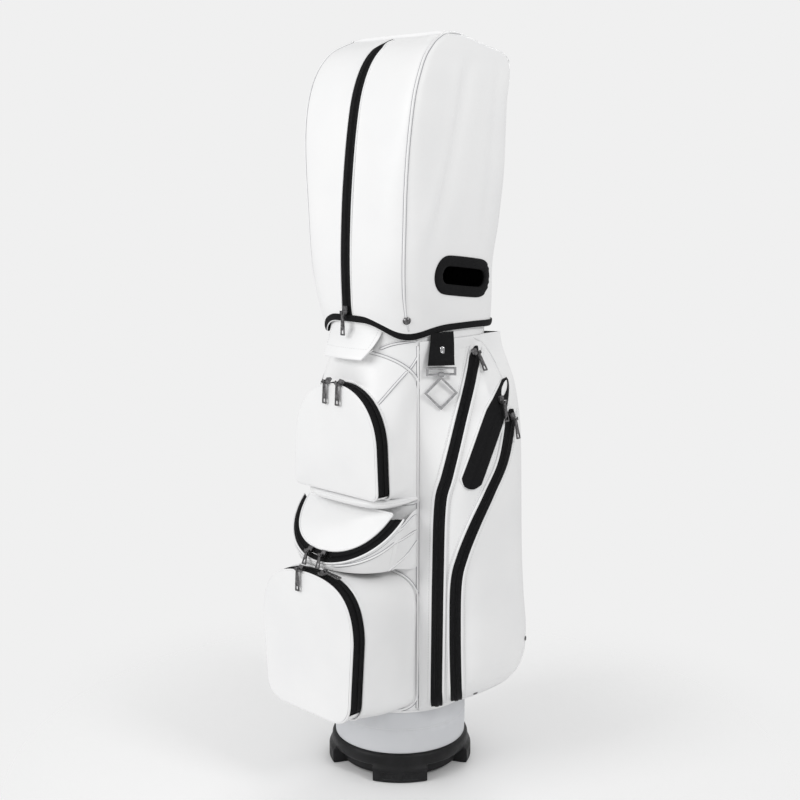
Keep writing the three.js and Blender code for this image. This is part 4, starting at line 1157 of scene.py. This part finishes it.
def build_tab():
    """Webbing tab that the towel hanger's loop hangs from, with its chrome stud."""
    face = np.array([math.cos(HANGER_FACE), math.sin(HANGER_FACE), 0])
    line = np.array([-face[1], face[0], 0])
    def point(sideways, z, off):
        spot, out = face_place(TAB["across"] + sideways, z)
        flat = LOOP_PIN + line * sideways + face * off
        flat[2] = z
        drop = smoothstep(TAB["high"] - z, 0, TAB["high"] - TAB["low"])
        return lerp(spot + out * (3 + off), flat, drop)
    heights = np.linspace(TAB["low"] - 1, TAB["high"] + 12, 34)
    across = np.linspace(-1, 1, 24)
    halves = [lerp(TAB["half"], 20.5, (z - TAB["low"]) / 43) for z in heights]

    def sheet_at(off):
        return [[point(s * half, z, off) for s in across] for z, half in zip(heights, halves)]
    tab = wall("towel_tab", sheet_at(2), sheet_at(0), WEBBING, "bag", edge=0.5)
    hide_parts("webbing_tab")
    base = point(0, TAB["stud"] - 6, 2.0)
    turns = np.linspace(0, 2 * math.pi, 36, endpoint=False)
    rings = []
    profile = ((0.05, 0.2), (1.0, 0.2), (1.05, 1.0), (0.95, 2.2), (0.7, 2.9), (0.42, 2.9), (0.36, 2.2),
               (0.05, 2.1))
    for size, height in profile:
        across_it = 4.2 * size * np.cos(turns)
        up_it = (4.2 * np.sin(turns) + np.sign(np.sin(turns)) * 3.4) * size
        ring = base + line * across_it[:, None] + face * height
        rings.append(ring + np.array([0, 0, 1.0]) * up_it[:, None])
    stud = tube("stud_cap", rings, CHROME, "bag")
    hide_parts("tab_stud")


# ---- Hood -----------------------------------------------------------------------------
def hood_shift(t, angle):
    """How much lower than its table row the hood is near the scalloped hem."""
    return (hood_hem(angle) - 840) * max(0.0, 1 - t)


def hood_folds(points, out):
    """Soft hanging folds: a long slanting valley on each side, a second behind it, faint waves below."""
    y, z = points[..., 1], points[..., 2]
    sideways = smoothstep(np.abs(out[..., 0]), 0.7, 0.95)
    hanging = smoothstep(z, 955, 1060) * (1 - smoothstep(z, 1270, 1318))
    valley = np.interp(z, (900, 997, 1149, 1284, 1340), (-80, -53, -9, 24, 40))
    d = y - valley
    far = y - np.interp(z, (900, 1098, 1237, 1330), (60, 84, 100, 112))
    fold = 3.2 * bell(d + 24, 15) - 5.0 * bell(d, 15) + 2.2 * bell(d - 30, 20) - 3.4 * bell(far, 13)
    low = 1.1 * np.sin(y * 0.05 + z * 0.012) * (1 - smoothstep(z, 1000, 1100)) * smoothstep(z, 860, 900)
    return sideways * (fold * hanging + low) + 0.5 * np.sin(points[..., 0] * 0.06 + z * 0.02)


def hood_grid(levels):
    """Rows of points round the folded hood, with their outward directions."""
    rows = []
    angles = np.linspace(-math.pi / 2, 1.5 * math.pi, 3000, endpoint=False)
    for t in levels:
        z, section = hood_section(t)
        loop = oval_point(section, angles, 0, z)
        loop[:, 2] += hood_shift(t, angles)
        rows.append(resample(loop, 220, closed=True))
    grid = np.array(rows)
    out = grid_out(grid, True, (0, 25))
    return grid + out * hood_folds(grid, out)[..., None], out


def hood_spot(t, degrees, off=0.0):
    """Point on the folded hood at a row and an angle, with its outward direction."""
    angle = math.radians(degrees)
    spots = []
    for dt, da in ((0, 0), (0.05, 0), (-0.05, 0), (0, 0.04), (0, -0.04)):
        z, section = hood_section(t + dt)
        spot = oval_point(section, np.float64(angle + da), 0, z)
        spot[2] += float(hood_shift(t + dt, angle + da))
        spots.append(spot)
    out = unit(np.cross(spots[3] - spots[4], spots[1] - spots[2]))
    out = out * np.sign(out @ (spots[0] - (0, 25, spots[0][2] - 40)))
    return spots[0] + out * (off + float(hood_folds(spots[0], out))), out


def hood_side(y, z):
    """Point on the right side of the hood at (y, z), with its outward direction."""
    ts = np.linspace(0, HOOD_TOP_ROW, 281)
    zs = np.array([hood_section(t)[0] for t in ts])
    def at(y, z):
        section = hood_section(float(np.interp(z, zs, ts)))[1]
        end = "front" if y < 0 else "back"
        reach, power = section[end], section[f"{end}_power"]
        return np.array([section["half"] * (1 - abs(y / reach) ** power) ** (1 / power), y, z])
    out = unit(np.cross(at(y + 3, z) - at(y - 3, z), at(y, z + 3) - at(y, z - 3)))
    spot = at(y, z)
    return spot + out * float(hood_folds(spot, out)), out


def slot_line(radius):
    """Closed (y, z) line round the hood window's slot."""
    reach = WINDOW["half"] - WINDOW["radius"]
    turns = np.linspace(0, 2 * math.pi, 400, endpoint=False)
    y = radius * np.cos(turns) + reach * np.tanh(np.cos(turns) * 6)
    line = np.stack([y, radius * np.sin(turns)], axis=1) @ tilted(WINDOW["tilt"])
    return resample(line + (WINDOW["y"], WINDOW["z"]), 72, closed=True)


def tilted(angle):
    """Matrix that turns rows of (y, z) points by an angle."""
    return np.array([(math.cos(angle), math.sin(angle)), (-math.sin(angle), math.cos(angle))])


def build_hood():
    levels = np.concatenate([[0.02, 0.18], np.linspace(0.3, HOOD_TOP_ROW - 0.001, 170)])
    outer, out = hood_grid(levels)
    inner = outer - out * 1.8
    inner[..., 2] = np.minimum(inner[..., 2], outer[..., 2])
    apex = outer[-1].mean(axis=0) + (0, 0, 1.2)
    crowns = [lerp(outer[-1], apex, s) for s in (0.35, 0.7, 1.0)]
    inner_crowns = [row - (0, 0, 1.8) for row in crowns]
    outer, inner = np.concatenate([outer, crowns]), np.concatenate([inner, inner_crowns])
    rows, count = outer.shape[:2]
    middle = (outer[:-1] + outer[1:]) / 2
    offset = (middle[..., 1:] - (WINDOW["y"], WINDOW["z"])) @ tilted(-WINDOW["tilt"])
    y, z = offset[..., 0], offset[..., 1]
    reach = WINDOW["half"] - WINDOW["radius"]
    from_slot = np.hypot(np.maximum(np.abs(y) - reach, 0), z)
    gone = (from_slot < WINDOW["radius"] + 4) & (middle[..., 0] > 60)
    half = rows * count
    faces, inside, rims = [], [], []
    for r in range(rows - 1):
        for i in range(count):
            if gone[r, i]:
                continue
            j = (i + 1) % count
            a, b, c, d = r * count + i, r * count + j, (r + 1) * count + j, (r + 1) * count + i
            faces.append((a, b, c, d))
            inside.append((half + b, half + a, half + d, half + c))
            around = ((r - 1, i, a, b), (r + 1, i, c, d), (r, (i - 1) % count, d, a), (r, j, b, c))
            for row, column, p, q in around:
                if row < 0 or (row < rows - 1 and gone[row, column]):
                    rims.append((q, p, half + p, half + q))
    verts = np.vstack([outer.reshape(-1, 3), inner.reshape(-1, 3)])
    marks = (len(faces), len(faces) + len(inside))
    faces += inside + rims
    shell = make_piece("hood_panels", verts, faces, HOOD_WHITE, "hood", looks=(LINING,), inner_from=marks)
    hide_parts("hood_shell")

    profile = [(16, -2.2), (16, 1.6), (18, 3.0), (24, 3.6), (30, 3.2), (34, 2.2), (35, 0.6), (34, -0.4)]
    lines = [slot_line(radius) for radius, _ in profile]
    rings = []
    for k in range(len(lines[0])):
        ring = []
        for (radius, height), line in zip(profile, lines):
            spot, away = hood_side(*line[k])
            crease = 0.9 * math.sin(line[k][1] * 0.55) * smoothstep(line[k][0], 55, 80) * (height > 1)
            ring.append(spot + away * (height + crease))
        rings.append(ring)
    trim = tube("window_trim", rings, NEOPRENE, "hood", closed=True)
    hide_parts("hood_window_trim")

    angles = np.linspace(-math.pi / 2, 1.5 * math.pi, 240, endpoint=False)
    z, section = hood_section(0.0)

    def band(off):
        rows = []
        for s in np.linspace(0, 1, 8):
            loop = oval_point(section, angles, 0, z)
            away = unit(loop * (1, 1, 0))
            loop[:, 2] = hood_hem(angles) + s * BINDING
            rows.append(loop + away * (off * (0.55 + 0.45 * math.sin(math.pi * s)) + s * BINDING * 0.19))
        return rows
    binding = wall("hem_binding", band(2.4), band(-2.2), WEBBING, "hood", ring=True, edge=0.8)
    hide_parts("hood_binding")

    spots = [hood_spot(t, -90) for t in np.linspace(0.45, 11.1, 150)]
    path, out = np.array([p for p, _ in spots]), np.array([o for _, o in spots])
    path[:, 0] = 0
    out[:, 0] = 0
    width = np.clip(np.linspace(1, 0, 150) * 6, 0.45, 1)
    tape = sweep("hood_zip", path + out * 0.5, out, coil_profile(24, edge=0.5), ZIP, "hood", taper=width)
    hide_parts("hood_zip_tape")
    for side, sign in (("left", -1), ("right", 1)):
        edge = path + out * 0.8
        edge[:, 0] += sign * 13.2 * width
        piping(f"hood_zip_piping_{side}", edge, out, 1.5, "hood", fade=True)
        route = spline([(0.32, -36), (1, -40), (2, -43), (4, -45), (8, -45), (10, -45), (11.2, -45),
                        (11.8, -30), (12, 0), (11.8, 30), (11.2, 45), (10, 45), (8.3, 45)], 240)
        spots = [hood_spot(t, a if sign > 0 else -180 - a, 0.6) for t, a in route]
        line, away = np.array([p for p, _ in spots]), np.array([o for _, o in spots])
        piping(f"hood_piping_{side}", line, away, 2.1, "hood", fade=True, crease=-0.5)

    spot, away = hood_spot(0.66, -38)
    up = unit(np.cross(away, np.cross((0, 0, 1), away)))
    across = np.cross(up, away)
    turns = np.linspace(0, 2 * math.pi, 32, endpoint=False)
    rings = []
    profile = ((0.1, 0.3), (6.9, 0.3), (7.1, 0.9), (6.6, 1.6), (5.4, 1.9), (5.0, 3.0), (3.6, 3.9),
               (0.1, 4.3))
    for radius, height in profile:
        ring = radius * (np.cos(turns)[:, None] * across + np.sin(turns)[:, None] * up)
        rings.append(spot + ring + away * height)
    snap = tube("snap_cap", rings, NICKEL, "hood")
    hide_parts("hood_snap")


# ---- CAD pieces that keep their shape ---------------------------------------------------
def finish_cad_nodes():
    for name, node in NODES.items():
        look = None
        if name.endswith(("_slider", "_puller")):
            look = NICKEL
        elif name in ("hanger_loop", "towel_ring"):
            look = CHROME
        elif name.startswith("stay_rod"):
            look = ROD
        elif name == "top_divider":
            look = PLASTIC
        if look is None:
            continue
        node.data.materials.clear()
        node.data.materials.append(look.material)
        bevel(node, 0.45 if look in (NICKEL, CHROME) else 0.8, 2, 30)


def build_partitions():
    for name, y in zip(("front", "rear"), WELL_WALLS):
        heights = np.linspace(61, 837, 40)
        x = np.linspace(-101.5, 101.5, 30)
        sag = [[(u, y + 0.9 * math.sin(u * 0.05) * math.sin(z * 0.011 + y), z) for u in x] for z in heights]
        sag = np.array(sag)
        cloth = wall(f"well_cloth_{name}", sag + (0, 0.6, 0), sag - (0, 0.6, 0), LINING, "bag", edge=0)
        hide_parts(f"well_partition_{name}")


build_stage()
build_base()
build_body()
build_seams()
build_pocket("upper", UPPER_FACE, 556, (0, 640))
build_pocket("lower", LOWER_FACE, 176, (0, 288))
build_underband()
build_middle_pocket()
build_side_pockets()
build_handles()
build_tab()
build_hood()
build_partitions()
finish_cad_nodes()

boxes = {"cad": cad_box, "visual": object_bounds()}
{name: [list(map(float, corner)) for corner in box] for name, box in boxes.items()}
